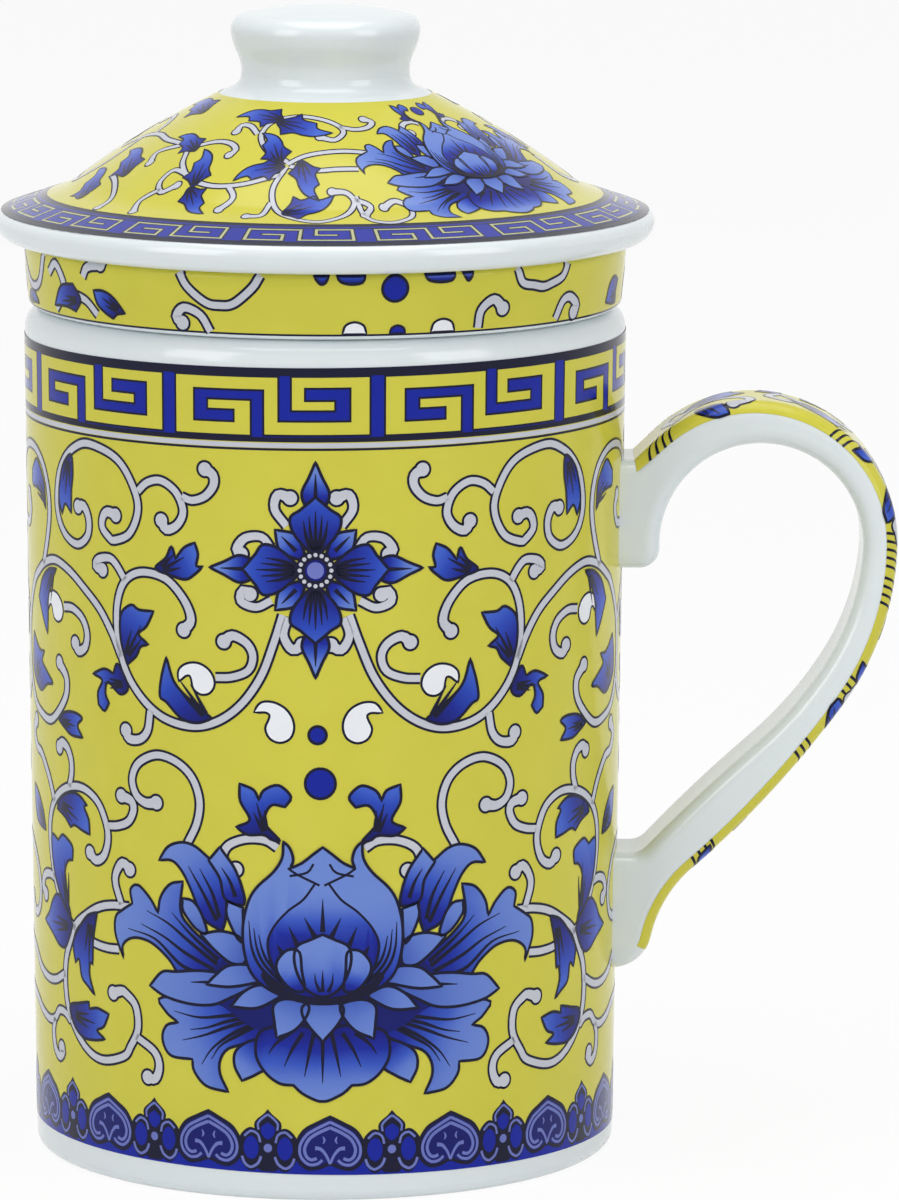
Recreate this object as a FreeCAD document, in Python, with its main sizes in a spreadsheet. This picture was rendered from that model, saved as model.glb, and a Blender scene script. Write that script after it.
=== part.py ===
import FreeCAD, Part

import math
import os

import Sketcher

# Lidded tea mug with an infuser: mug and handle, infuser, lid and knob, all fired porcelain.
# The origin is on the mug's axis, in the plane it stands on. +Z is up and the handle points along +X.

SIZES = [
    # mug
    ("mug_tall", 108.2),
    ("rim_dia", 76.2),
    ("base_dia", 74.0),
    ("mug_wall", 4.0),
    ("rim_outer_round", 2.8),
    ("rim_inner_round", 0.6),
    ("foot_round", 1.4),
    ("foot_hollow_dia", 62.0),
    ("foot_hollow_deep", 2.0),
    ("foot_hollow_flare", 1.5),
    ("mug_floor", 6.0),
    ("mug_floor_round", 7.0),
    # infuser
    ("collar_tall", 8.4),
    ("collar_top_dia", 76.2),
    ("collar_low_dia", 75.2),
    ("collar_low_round", 1.2),
    ("collar_wall", 3.6),
    ("collar_lip_round", 0.9),
    ("basket_gap", 1.0),
    ("basket_wall", 2.8),
    ("basket_deep", 62.0),
    ("basket_base_dia", 57.0),
    ("basket_floor", 3.0),
    ("basket_floor_round", 5.0),
    ("strain_hole_dia", 2.4),
    ("strain_ring_step", 4.6),
    # lid
    ("lid_dia", 83.4),
    ("lid_edge_up", 2.3),
    ("lid_edge_low_round", 2.2),
    ("lid_edge_top_round", 1.5),
    ("lid_brim_wide", 8.2),
    ("lid_brim_rise", 3.9),
    ("lid_brim_round", 9.0),
    ("lid_dome_low_dia", 62.4),
    ("lid_dome_low_up", 7.55),
    ("lid_dome_round", 108.0),
    ("lid_top_dia", 24.8),
    ("lid_top_up", 18.85),
    ("lid_wall", 3.9),
    ("spigot_gap", 0.8),
    ("spigot_wall", 2.6),
    ("spigot_deep", 6.0),
    ("spigot_round", 0.8),
    # knob
    ("knob_dia", 23.95),
    ("knob_neck_dia", 21.3),
    ("knob_neck_up", 2.0),
    ("knob_side_dia", 22.4),
    ("knob_side_up", 4.65),
    ("knob_widest_up", 7.3),
    ("knob_top_dia", 20.6),
    ("knob_shoulder_up", 9.6),
    ("knob_tall", 10.65),
    # handle, its side outline as distances out from the rim's radius and up from the base
    ("handle_wide", 13.0),
    ("handle_round", 2.0),
    ("root_inset", 2.4),
    ("top_root_out", 1.2),
    ("top_root_up", 88.9),
    ("shoulder_out", 4.1),
    ("shoulder_up", 90.9),
    ("crown_out", 17.3),
    ("crown_up", 96.45),
    ("reach_out", 34.55),
    ("reach_up", 78.2),
    ("belly_out", 28.1),
    ("belly_up", 57.8),
    ("shin_out", 8.9),
    ("shin_up", 36.3),
    ("heel_out", 3.6),
    ("heel_up", 27.2),
    ("low_root_out", 0.8),
    ("low_root_up", 23.2),
    ("web_out", 0.9),
    ("web_up", 38.15),
    ("leg_start_out", 3.0),
    ("leg_start_up", 39.0),
    ("leg_end_out", 16.4),
    ("leg_end_up", 51.95),
    ("thigh_out", 25.5),
    ("thigh_up", 62.6),
    ("inner_reach_out", 30.2),
    ("inner_reach_up", 77.2),
    ("inner_crown_out", 17.2),
    ("inner_crown_up", 91.0),
    ("throat_out", 7.1),
    ("throat_up", 86.0),
    ("lip_out", 4.4),
    ("lip_up", 77.6),
    ("lip_root_out", 2.2),
    ("lip_root_up", 75.0),
]
STRAIN_RINGS = 4
HOLES_PER_RING_STEP = 6

document = FreeCAD.newDocument("tea_mug")
sheet = document.addObject("Spreadsheet::Sheet", "sizes")
for row, (alias, value) in enumerate(SIZES, start=1):
    sheet.set(f"A{row}", alias)
    sheet.set(f"B{row}", str(value))
    sheet.setAlias(f"B{row}", alias)
document.recompute()


def plane_of(body, role):
    """Give one of a body's own origin planes."""
    return next(item for item in body.Origin.OriginFeatures if item.Role == role)


def new_body(label):
    """Start one ceramic piece."""
    body = document.addObject("PartDesign::Body", label)
    body.Label = label
    return body


def new_sketch(body, name, role):
    """Attach an empty sketch to one of the body's own origin planes."""
    sketch = body.newObject("Sketcher::SketchObject", name)
    sketch.AttachmentSupport = [(plane_of(body, role), "")]
    sketch.MapMode = "FlatFace"
    return sketch


def bind(sketch, constraint, expression):
    """Tie a new constraint to an expression of the sizes."""
    index = sketch.addConstraint(constraint)
    sketch.setExpression(f"Constraints[{index}]", expression)


def arc_between(start, end, swing):
    """Draw an arc that turns by swing degrees on its way, to the left where swing is positive."""
    chord = end - start
    across = FreeCAD.Vector(-chord.y, chord.x, 0) / chord.Length
    sag = chord.Length / 2 * math.tan(math.radians(swing) / 4)
    return Part.Arc(start, (start + end) / 2 - across * sag, end)


def swing_of(start, end, radius, turn):
    """Give how far an arc of a known radius turns between two points."""
    half = min((end - start).Length / 2 / radius, 1.0)
    return turn * 2 * math.degrees(math.asin(half))


def draw_outline(sketch, corners):
    """Draw a closed outline, tie its corners to the sizes and give the number of each edge.

    Each corner is (across, up, edge), and the edge leads to the next corner. An edge is None for
    a straight one, (radius, turn) for an arc of that radius, or a number for an arc that runs
    smoothly into its neighbours and turns by about that many degrees. A fourth entry, "across"
    or "up", leaves that place of the corner to the smooth arcs, and "sharp" leaves a corner there.
    """
    points = [
        FreeCAD.Vector(float(sheet.evalExpression(corner[0])), float(sheet.evalExpression(corner[1])), 0)
        for corner in corners
    ]
    edges = []
    for index, corner in enumerate(corners):
        start = points[index]
        end = points[(index + 1) % len(points)]
        edge = corner[2]
        if edge is None:
            edges.append((sketch.addGeometry(Part.LineSegment(start, end)), 1, 2, False))
            continue
        smooth = not isinstance(edge, tuple)
        if smooth:
            swing = edge
        else:
            radius = float(sheet.evalExpression(edge[0]))
            swing = swing_of(start, end, radius, edge[1])
        arc = sketch.addGeometry(arc_between(start, end, swing))
        if not smooth:
            bind(sketch, Sketcher.Constraint("Radius", arc, radius), edge[0])
        first, last = (1, 2) if swing > 0 else (2, 1)
        edges.append((arc, first, last, smooth))
    for index, corner in enumerate(corners):
        item, first, last, smooth = edges[index]
        before, before_first, before_last, before_smooth = edges[index - 1]
        sharp = len(corner) > 3 and corner[3] == "sharp"
        joint = "Tangent" if (smooth or before_smooth) and not sharp else "Coincident"
        sketch.addConstraint(Sketcher.Constraint(joint, before, before_last, item, first))
        place = points[index]
        free = corner[3] if len(corner) > 3 else ""
        if free != "across":
            bind(sketch, Sketcher.Constraint("DistanceX", -1, 1, item, first, place.x), corner[0])
        if free != "up":
            bind(sketch, Sketcher.Constraint("DistanceY", -1, 1, item, first, place.y), corner[1])
    return edges


def turn_outline(body, name, corners, kind="PartDesign::Revolution", level_edge=None):
    """Turn a half outline through a full circle about the upright axis.

    The arc numbered level_edge is level where it ends, on the axis.
    """
    sketch = new_sketch(body, f"{name}_outline", "XZ_Plane")
    edges = draw_outline(sketch, corners)
    if level_edge is not None:
        arc, first, last, smooth = edges[level_edge]
        sketch.addConstraint(Sketcher.Constraint("Vertical", arc, 3, arc, last))
    turned = body.newObject(kind, name)
    turned.Profile = sketch
    turned.ReferenceAxis = (sketch, ["V_Axis"])
    turned.Angle = 360
    sketch.Visibility = False
    document.recompute()
    return turned


def lift(body, expression):
    """Stand a piece at its height above the base."""
    body.setExpression("Placement.Base.z", expression)


RIM = "sizes.rim_dia / 2"
BASE = "sizes.base_dia / 2"
MUG_INNER_RIM = f"{RIM} - sizes.mug_wall"
MUG_INNER_BASE = f"{BASE} - sizes.mug_wall"


def make_mug_body():
    """Throw the mug: foot ring, tapered wall, rounded rim and hollow inside."""
    body = new_body("mug_body")
    turn_outline(body, "mug_turned", [
        ("sizes.foot_hollow_dia / 2", "0", None),
        (f"{BASE} - sizes.foot_round", "0", ("sizes.foot_round", 1)),
        (BASE, "sizes.foot_round", None),
        (RIM, "sizes.mug_tall - sizes.rim_outer_round", ("sizes.rim_outer_round", 1)),
        (f"{RIM} - sizes.rim_outer_round", "sizes.mug_tall", None),
        (f"{MUG_INNER_RIM} + sizes.rim_inner_round", "sizes.mug_tall", ("sizes.rim_inner_round", 1)),
        (MUG_INNER_RIM, "sizes.mug_tall - sizes.rim_inner_round", None),
        (MUG_INNER_BASE, "sizes.mug_floor + sizes.mug_floor_round", ("sizes.mug_floor_round", -1)),
        (f"{MUG_INNER_BASE} - sizes.mug_floor_round", "sizes.mug_floor", None),
        ("0", "sizes.mug_floor", None),
        ("0", "sizes.foot_hollow_deep", None),
        ("sizes.foot_hollow_dia / 2 - sizes.foot_hollow_flare", "sizes.foot_hollow_deep", None),
    ])
    return body


def make_mug_handle():
    """Cut the handle from its side outline, round its edges and shape its roots to the wall."""
    body = new_body("mug_handle")

    def at(place, edge=None, free=""):
        return (f"{RIM} + sizes.{place}_out", f"sizes.{place}_up", edge, free)

    inset = f"{RIM} - sizes.root_inset"
    outline = [
        (inset, "sizes.top_root_up", None),
        (inset, "sizes.lip_root_up", None),
        at("lip_root", 84, "across"),
        at("lip", -39),
        at("throat", -53),
        at("inner_crown", -93),
        at("inner_reach", -29),
        at("thigh", -16),
        at("leg_end", 6),
        at("leg_start", -50),
        at("web", None, "across"),
        (inset, "sizes.web_up", None),
        (inset, "sizes.low_root_up", None),
        at("low_root", 78, "across"),
        at("heel", -36),
        at("shin", 13),
        at("belly", 35),
        at("reach", 87),
        at("crown", 43),
        at("shoulder", None, "up"),
        at("top_root"),
    ]
    sketch = new_sketch(body, "handle_outline", "XZ_Plane")
    edges = draw_outline(sketch, outline)
    level_arc, level_end = edges[5][0], edges[5][1]
    upright_arc, upright_end = edges[17][0], edges[17][1]
    sketch.addConstraint(Sketcher.Constraint("Vertical", level_arc, 3, level_arc, level_end))
    sketch.addConstraint(Sketcher.Constraint("Horizontal", upright_arc, 3, upright_arc, upright_end))
    strap = body.newObject("PartDesign::Pad", "handle_strap")
    strap.Profile = sketch
    strap.setExpression("Length", "sizes.handle_wide")
    strap.Midplane = True
    sketch.Visibility = False
    document.recompute()

    root_x = float(sheet.rim_dia) / 2 - float(sheet.root_inset)
    half_wide = float(sheet.handle_wide) / 2
    side_edges = []
    for number, edge in enumerate(strap.Shape.Edges, start=1):
        box = edge.BoundBox
        on_side = box.YLength < 0.001 and abs(abs(box.YMin) - half_wide) < 0.001
        if on_side and box.XMax > root_x + 0.001:
            side_edges.append(f"Edge{number}")
    rounded = body.newObject("PartDesign::Fillet", "handle_rounding")
    rounded.Base = (strap, side_edges)
    rounded.setExpression("Radius", "sizes.handle_round")
    document.recompute()

    before = rounded.Shape.Volume
    seat = turn_outline(body, "handle_seat", [
        ("0", "sizes.foot_round", None),
        (BASE, "sizes.foot_round", None),
        (RIM, "sizes.mug_tall - sizes.rim_outer_round", None),
        ("0", "sizes.mug_tall - sizes.rim_outer_round", None),
    ], "PartDesign::Groove")
    if not seat.Shape.Volume < before:
        raise RuntimeError("the handle's roots were not shaped to the wall")
    return body


def make_infuser():
    """Shape the infuser: collar that stands on the rim, tapered basket and pierced floor."""
    body = new_body("infuser")
    lift(body, "sizes.mug_tall")
    collar_top = "sizes.collar_top_dia / 2"
    collar_low = "sizes.collar_low_dia / 2"
    mouth = f"{collar_top} - sizes.collar_wall"
    neck = f"{MUG_INNER_RIM} - sizes.basket_gap"
    bottom = "sizes.basket_base_dia / 2"
    turn_outline(body, "infuser_turned", [
        ("0", "0 - sizes.basket_deep", None),
        (f"{bottom} - sizes.basket_floor_round", "0 - sizes.basket_deep", ("sizes.basket_floor_round", 1)),
        (bottom, "sizes.basket_floor_round - sizes.basket_deep", None),
        (neck, "0", None),
        (f"{collar_low} - sizes.collar_low_round", "0", ("sizes.collar_low_round", 1)),
        (collar_low, "sizes.collar_low_round", None),
        (collar_top, "sizes.collar_tall - sizes.collar_lip_round", ("sizes.collar_lip_round", 1)),
        (f"{collar_top} - sizes.collar_lip_round", "sizes.collar_tall", None),
        (f"{mouth} + sizes.collar_lip_round", "sizes.collar_tall", ("sizes.collar_lip_round", 1)),
        (mouth, "sizes.collar_tall - sizes.collar_lip_round", None),
        (mouth, "sizes.collar_tall / 4", None),
        (f"{neck} - sizes.basket_wall", "0 - sizes.basket_wall", None),
        (
            f"{bottom} - sizes.basket_wall",
            "sizes.basket_floor + sizes.basket_floor_round - sizes.basket_deep",
            ("sizes.basket_floor_round", -1),
        ),
        (
            f"{bottom} - sizes.basket_wall - sizes.basket_floor_round",
            "sizes.basket_floor - sizes.basket_deep",
            None,
        ),
        ("0", "sizes.basket_floor - sizes.basket_deep", None),
    ])
    for ring in range(STRAIN_RINGS + 1):
        pierce_ring(body, ring)
    return body


def pierce_ring(body, ring):
    """Pierce one ring of straining holes through the basket's floor."""
    before = body.Tip.Shape.Volume
    sketch = new_sketch(body, f"strain_hole_{ring}", "XY_Plane")
    sketch.setExpression("AttachmentOffset.Base.z", "sizes.basket_floor - sizes.basket_deep + 1")
    radius = float(sheet.strain_hole_dia) / 2
    centre = FreeCAD.Vector(ring * float(sheet.strain_ring_step), 0, 0)
    hole = sketch.addGeometry(Part.Circle(centre, FreeCAD.Vector(0, 0, 1), radius))
    bind(sketch, Sketcher.Constraint("Diameter", hole, 2 * radius), "sizes.strain_hole_dia")
    bind(
        sketch,
        Sketcher.Constraint("DistanceX", -1, 1, hole, 3, centre.x),
        f"sizes.strain_ring_step * {ring}",
    )
    sketch.addConstraint(Sketcher.Constraint("PointOnObject", hole, 3, -1))
    pocket = body.newObject("PartDesign::Pocket", f"strain_pocket_{ring}")
    pocket.Profile = sketch
    pocket.setExpression("Length", "sizes.basket_floor + 2")
    sketch.Visibility = False
    document.recompute()
    if not pocket.Shape.Volume < before:
        raise RuntimeError(f"ring {ring} of the straining holes cut nothing")
    if ring == 0:
        return
    pattern = body.newObject("PartDesign::PolarPattern", f"strain_ring_{ring}")
    pattern.Originals = [pocket]
    pattern.Axis = (sketch, ["N_Axis"])
    pattern.Angle = 360
    pattern.Occurrences = ring * HOLES_PER_RING_STEP
    body.Tip = pattern
    document.recompute()


def make_lid():
    """Shape the lid: brim, dome, hollow underside and the ring that keeps it on the collar."""
    body = new_body("lid")
    lift(body, "sizes.mug_tall + sizes.collar_tall")
    edge = "sizes.lid_dia / 2"
    spigot = "sizes.collar_top_dia / 2 - sizes.collar_wall - sizes.spigot_gap"
    hollow = f"{spigot} - sizes.spigot_wall"
    brim_up = "sizes.lid_edge_up + sizes.lid_edge_top_round"
    turn_outline(body, "lid_turned", [
        (spigot, "0", None),
        (f"{edge} - sizes.lid_edge_low_round", "0", ("sizes.lid_edge_low_round + 0.1", 1)),
        (edge, "sizes.lid_edge_up", ("sizes.lid_edge_top_round + 0.1", 1)),
        (f"{edge} - sizes.lid_edge_top_round * 0.75", brim_up, None),
        (
            f"{edge} - sizes.lid_brim_wide",
            "sizes.lid_edge_up + sizes.lid_brim_rise",
            ("sizes.lid_brim_round", -1),
        ),
        ("sizes.lid_dome_low_dia / 2", "sizes.lid_dome_low_up", ("sizes.lid_dome_round", 1)),
        ("sizes.lid_top_dia / 2", "sizes.lid_top_up", None),
        ("0", "sizes.lid_top_up", None),
        ("0", "sizes.lid_top_up - sizes.lid_wall", None),
        (
            "sizes.lid_top_dia / 2",
            "sizes.lid_top_up - sizes.lid_wall",
            ("sizes.lid_dome_round - sizes.lid_wall", -1),
        ),
        (hollow, "sizes.lid_dome_low_up - sizes.lid_wall", None),
        (hollow, "sizes.spigot_round - sizes.spigot_deep", ("sizes.spigot_round", 1)),
        (f"{hollow} + sizes.spigot_round", "0 - sizes.spigot_deep", None),
        (f"{spigot} - sizes.spigot_round", "0 - sizes.spigot_deep", ("sizes.spigot_round", 1)),
        (spigot, "sizes.spigot_round - sizes.spigot_deep", None),
    ])
    return body


def make_lid_knob():
    """Shape the knob that is stuck to the top of the lid."""
    body = new_body("lid_knob")
    lift(body, "sizes.mug_tall + sizes.collar_tall + sizes.lid_top_up")
    turn_outline(body, "knob_turned", [
        ("0", "0", None),
        ("sizes.lid_top_dia / 2", "0", -76, "sharp"),
        ("sizes.knob_neck_dia / 2", "sizes.knob_neck_up", -29),
        ("sizes.knob_side_dia / 2", "sizes.knob_side_up", 20),
        ("sizes.knob_dia / 2", "sizes.knob_widest_up", 85),
        ("sizes.knob_top_dia / 2", "sizes.knob_shoulder_up", 12),
        ("0", "sizes.knob_tall", None, "sharp"),
    ], level_edge=5)
    return body


pieces = [make_mug_body(), make_mug_handle(), make_infuser(), make_lid(), make_lid_knob()]
document.recompute()

for item in document.Objects:
    if "Invalid" in item.State or "Error" in item.State:
        raise RuntimeError(f"{item.Label} did not build: {item.State}")
for piece in pieces:
    if piece.Shape.isNull() or not piece.Shape.isValid():
        raise RuntimeError(f"{piece.Label} is not a sound solid")

os.makedirs("parts", exist_ok=True)
for piece in pieces:
    piece.Shape.exportStep(f"parts/{piece.Label}.step")
    box = piece.Shape.BoundBox
    print(f"{piece.Label}: {len(piece.Shape.Solids)} solid, {piece.Shape.Volume:.0f} mm3, "
          f"x {box.XMin:.2f} {box.XMax:.2f}, y {box.YMin:.2f} {box.YMax:.2f}, "
          f"z {box.ZMin:.2f} {box.ZMax:.2f}")
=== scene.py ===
import math

import bmesh
import bpy
import numpy as np
from mathutils import Matrix, Vector


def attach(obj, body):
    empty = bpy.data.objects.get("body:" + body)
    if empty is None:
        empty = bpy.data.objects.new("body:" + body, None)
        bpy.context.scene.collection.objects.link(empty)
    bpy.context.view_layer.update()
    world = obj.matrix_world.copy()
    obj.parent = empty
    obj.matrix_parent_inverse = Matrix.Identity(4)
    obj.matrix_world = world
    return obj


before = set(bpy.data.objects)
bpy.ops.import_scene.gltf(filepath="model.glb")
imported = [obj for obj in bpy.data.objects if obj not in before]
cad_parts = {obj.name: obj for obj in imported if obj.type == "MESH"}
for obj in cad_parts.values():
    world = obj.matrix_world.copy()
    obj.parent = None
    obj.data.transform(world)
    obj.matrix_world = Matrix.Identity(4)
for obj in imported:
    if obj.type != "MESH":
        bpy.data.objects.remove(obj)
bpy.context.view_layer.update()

# A lidded tea mug with an infuser: white glazed porcelain with painted enamel.
# Each painted motif is drawn on a flat sheet in millimetres, then laid round its piece.

MM = 0.001
FULL_TURN = 2 * math.pi

# Marks a spot of an outline where it turns sharply.
TIP = True

# The glazed surfaces that carry enamel, in millimetres as the construction has them.
WALL_LOW_UP, WALL_LOW_RADIUS = 1.4, 37.0
WALL_TOP_UP, WALL_TOP_RADIUS = 105.4, 38.1
SHEET_RADIUS = 38.0
ROUND_WALL = FULL_TURN * SHEET_RADIUS
HALF_ROUND = ROUND_WALL / 2

COLLAR_LOW_UP, COLLAR_LOW_RADIUS, COLLAR_LOW_ROUND = 109.4, 37.6, 1.2
COLLAR_TOP_UP, COLLAR_TOP_RADIUS, COLLAR_TOP_ROUND = 115.7, 38.1, 0.9

LID_UP = 116.6
BRIM_OUT, BRIM_OUT_UP = 40.575, 3.8
BRIM_IN, BRIM_IN_UP = 33.5, 6.2
DOME_LOW, DOME_LOW_UP = 31.2, 7.55
DOME_TOP, DOME_TOP_UP = 12.4, 18.85
DOME_ROUND = 108.0

HANDLE_HALF_WIDE, HANDLE_ROUND = 6.5, 2.0
FLAT_HALF = HANDLE_HALF_WIDE - HANDLE_ROUND
CORNER_RUN = HANDLE_ROUND * math.pi / 2
HANDLE_LOOP_HEART = (42.0, 62.0)
HANDLE_OUTER_REACH = 20.0
ON_EDGE_NEAR, ON_EDGE_FACING = 0.01, 0.02

# How the enamel is laid: its first layer's height over the glaze, and each layer over the last.
FIRST_LIFT = 0.05
LAYER_LIFT = 0.006
PATCH_LIFT = 0.0007
PATCHES_TO_LAYER = 8
CREASES_ROUND = 160
CREASE_CLEAR, CUT_NEAR, SPOT_NEAR, NO_LENGTH = 1e-4, 1e-5, 1e-6, 1e-9
LINE_SPACING = 0.5
FEWEST_STEPS, MOST_STEPS = 2, 8
DISC_SIDES = 22
ON_AXIS = 0.05

# A comma's outline about its head's centre, for a head of radius 1.
COMMA = [(0, -1), (0.72, -0.7), (1, 0), (0.72, 0.65), (0.62, 1.1), (1.0, 1.35), (1.85, 1.3, TIP), (1.3, 1.95),
         (0.4, 2.0), (-0.5, 1.55), (-1.0, 0.8), (-1.08, 0), (-0.75, -0.7)]

# Layers, from the glaze outwards. Each ring of petals takes three: its fill, its veins and its edge.
GROUND, BAND, BAND_EDGE, BAND_FILL, VINE_EDGE, VINE_FILL, LEAF, LEAF_VEIN, LEAF_EDGE = range(9)
PETAL_RINGS, RING_LAYERS = 6, 3
PETAL_BACK, PETAL_MIDDLE, PETAL_FRONT, PETAL_FORE, BUD, BUD_INNER = range(
    LEAF, LEAF + PETAL_RINGS * RING_LAYERS, RING_LAYERS
)

EDGE_WIDE = 0.38
VINE_WIDE = 0.85
VINE_SWELL = 0.5
VINE_SWELL_REACH = 2.2
VINE_EDGE_WIDE = 0.31
BULB_RADIUS = 0.85
VEIN_WIDE = (0.6, 0.42, 0.1)
FOLD_WIDE = (0.1, 0.35, 0.45, 0.5)
LIP_WIDE = (0.3, 0.3, 0.3)
SHADE_WIDE, HEART_SHADE_WIDE = (0.7, 0.4, 0.08), (0.5, 0.3, 0.06)
# Along a sprig leaf's vein: how far ahead of the base, how far aside, and how much shorter an outer vein is.
SPRIG_VEIN = ((0.06, 0.3, 0.0), (0.35, 0.8, 0.0), (0.72, 1.0, 0.2))

# How a finish wanders: the scale and detail of its shade, its sheen and its waves.
SHADE_CLOUD, SHEEN_CLOUD, WAVE_CLOUD = (170.0, 4.0), (420.0, 3.0), (95.0, 2.0)
PATCHY, PATCHY_PETAL = 0.25, 0.10
SHEEN = (0.09, 0.17)
WAVE_STRENGTH, WAVE_DEEP = 0.05, 0.4 * MM
GLASSY_IOR = 1.52
ENAMEL_SHINE, GLAZE_SHINE = 0.2, 0.5


def ink(red, green, blue):
    """The linear colour a shader takes, for a colour as it is seen."""
    seen = (red, green, blue)
    return [c / 12.92 if c <= 0.04045 else ((c + 0.055) / 1.055) ** 2.4 for c in seen] + [1.0]


# Finishes

def fired(name, shades, fades=False, shine=ENAMEL_SHINE):
    """A fired glaze or enamel that wanders between its shades, from thick to thin.
    Where fades is set, the shade also follows the petal from its base to its tip."""
    finish = bpy.data.materials.new(name)
    finish.use_nodes = True
    nodes, links = finish.node_tree.nodes, finish.node_tree.links
    shader = nodes["Principled BSDF"]
    shader.inputs["IOR"].default_value = GLASSY_IOR
    shader.inputs["Specular IOR Level"].default_value = shine
    place = nodes.new("ShaderNodeTexCoord").outputs["Object"]

    def cloud(scale, detail):
        noise = nodes.new("ShaderNodeTexNoise")
        noise.inputs["Scale"].default_value = scale
        noise.inputs["Detail"].default_value = detail
        links.new(place, noise.inputs["Vector"])
        return noise.outputs["Fac"]

    depth = nodes.new("ShaderNodeMapRange")
    depth.clamp = False
    middle, reach = (0.0, PATCHY_PETAL) if fades else (0.5, PATCHY)
    depth.inputs["To Min"].default_value = middle - reach
    depth.inputs["To Max"].default_value = middle + reach
    links.new(cloud(*SHADE_CLOUD), depth.inputs["Value"])
    shade = depth.outputs["Result"]
    if fades:
        petal = nodes.new("ShaderNodeAttribute")
        petal.attribute_name = "fade"
        both = nodes.new("ShaderNodeMath")
        both.operation = "ADD"
        links.new(shade, both.inputs[0])
        links.new(petal.outputs["Fac"], both.inputs[1])
        shade = both.outputs["Value"]
    ramp = nodes.new("ShaderNodeValToRGB")
    stops = ramp.color_ramp.elements
    stops[0].color = ink(*shades[0])
    stops[1].color = ink(*shades[-1])
    for count, middle in enumerate(shades[1:-1], start=1):
        stops.new(count / (len(shades) - 1)).color = ink(*middle)
    links.new(shade, ramp.inputs["Fac"])
    links.new(ramp.outputs["Color"], shader.inputs["Base Color"])

    sheen = nodes.new("ShaderNodeMapRange")
    sheen.inputs["To Min"].default_value, sheen.inputs["To Max"].default_value = SHEEN
    links.new(cloud(*SHEEN_CLOUD), sheen.inputs["Value"])
    links.new(sheen.outputs["Result"], shader.inputs["Roughness"])

    waves = nodes.new("ShaderNodeBump")
    waves.inputs["Strength"].default_value = WAVE_STRENGTH
    waves.inputs["Distance"].default_value = WAVE_DEEP
    links.new(cloud(*WAVE_CLOUD), waves.inputs["Height"])
    links.new(waves.outputs["Normal"], shader.inputs["Normal"])
    return finish


GLAZE_SHADES = [(0.85, 0.885, 0.90), (0.875, 0.905, 0.915), (0.90, 0.925, 0.93)]
white_glaze = {
    node: fired(f"{node}_white_glaze", GLAZE_SHADES, shine=GLAZE_SHINE)
    for node in ("mug_body", "mug_handle", "infuser", "lid", "lid_knob")
}

PAINTS = {
    "yellow": fired("yellow_enamel", [(0.78, 0.757, 0.24), (0.812, 0.788, 0.275), (0.843, 0.818, 0.33)]),
    "royal": fired("royal_blue_enamel", [(0.0, 0.06, 0.48), (0.01, 0.11, 0.60), (0.03, 0.17, 0.68)]),
    "navy": fired("navy_enamel", [(0.03, 0.03, 0.13), (0.04, 0.045, 0.17), (0.06, 0.07, 0.22)]),
    "deep": fired("deep_blue_enamel", [(0.01, 0.03, 0.30), (0.02, 0.06, 0.40), (0.04, 0.10, 0.50)]),
    "pale": fired(
        "pale_petal_enamel",
        [(0.26, 0.37, 0.72), (0.37, 0.48, 0.79), (0.42, 0.53, 0.82)],
        fades=True,
    ),
    "petal": fired(
        "petal_blue_enamel",
        [(0.01, 0.05, 0.46), (0.05, 0.14, 0.60), (0.20, 0.33, 0.74), (0.37, 0.48, 0.80), (0.42, 0.53, 0.82)],
        fades=True,
    ),
    "leaf": fired(
        "leaf_blue_enamel",
        [(0.025, 0.05, 0.40), (0.06, 0.14, 0.57), (0.14, 0.27, 0.71), (0.25, 0.39, 0.79)],
        fades=True,
    ),
    "vine": fired("grey_lavender_enamel", [(0.70, 0.71, 0.76), (0.77, 0.78, 0.82), (0.83, 0.84, 0.87)]),
    "white": fired("white_enamel", [(0.88, 0.89, 0.92), (0.92, 0.93, 0.95), (0.95, 0.96, 0.97)]),
    "line": fired("slate_line_enamel", [(0.36, 0.40, 0.68), (0.42, 0.46, 0.74), (0.50, 0.53, 0.78)]),
    "ivory": fired("pale_ivory_enamel", [(0.66, 0.67, 0.50), (0.72, 0.73, 0.56), (0.78, 0.78, 0.62)]),
}
PAINT_ORDER = list(PAINTS)


# Drawing

def through(spots, closed=False):
    """A smooth line through a few spots."""
    spots = np.asarray(spots, float)
    if closed:
        ring = np.vstack([spots[-1:], spots, spots[:2]])
    else:
        ring = np.vstack([2 * spots[0] - spots[1], spots, 2 * spots[-1] - spots[-2]])
    line = []
    for before, start, end, after in zip(ring, ring[1:], ring[2:], ring[3:]):
        steps = np.ceil(np.linalg.norm(end - start) / LINE_SPACING)
        steps = int(np.clip(steps, FEWEST_STEPS, MOST_STEPS))
        t = np.arange(steps)[:, None] / steps
        bend = 2 * before - 5 * start + 4 * end - after
        twist = 3 * start - before - 3 * end + after
        line.append(start + ((end - before) * t + bend * t**2 + twist * t**3) / 2)
    if not closed:
        line.append(spots[-1:])
    return np.vstack(line)


def outline(spots, place):
    """A closed outline through spots, smooth but for those marked as a TIP."""
    flat = place(np.array([spot[:2] for spot in spots], float))
    tips = [number for number, spot in enumerate(spots) if len(spot) > 2]
    if not tips:
        return through(flat, closed=True)
    runs = []
    for first, last in zip(tips, tips[1:] + [tips[0] + len(spots)]):
        run = flat[[number % len(spots) for number in range(first, last + 1)]]
        runs.append(through(run)[:-1])
    return np.vstack(runs)


def both_sides(spots, axis):
    """A whole outline from its right half, which runs from the top of the axis to its foot."""
    inner = [spot for spot in spots if abs(spot[0] - axis) > ON_AXIS]
    return list(spots) + [(2 * axis - spot[0], *spot[1:]) for spot in reversed(inner)]


def along(line):
    """The distance of each point along a line."""
    return np.concatenate([[0], np.cumsum(np.linalg.norm(np.diff(line, axis=0), axis=1))])


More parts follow.
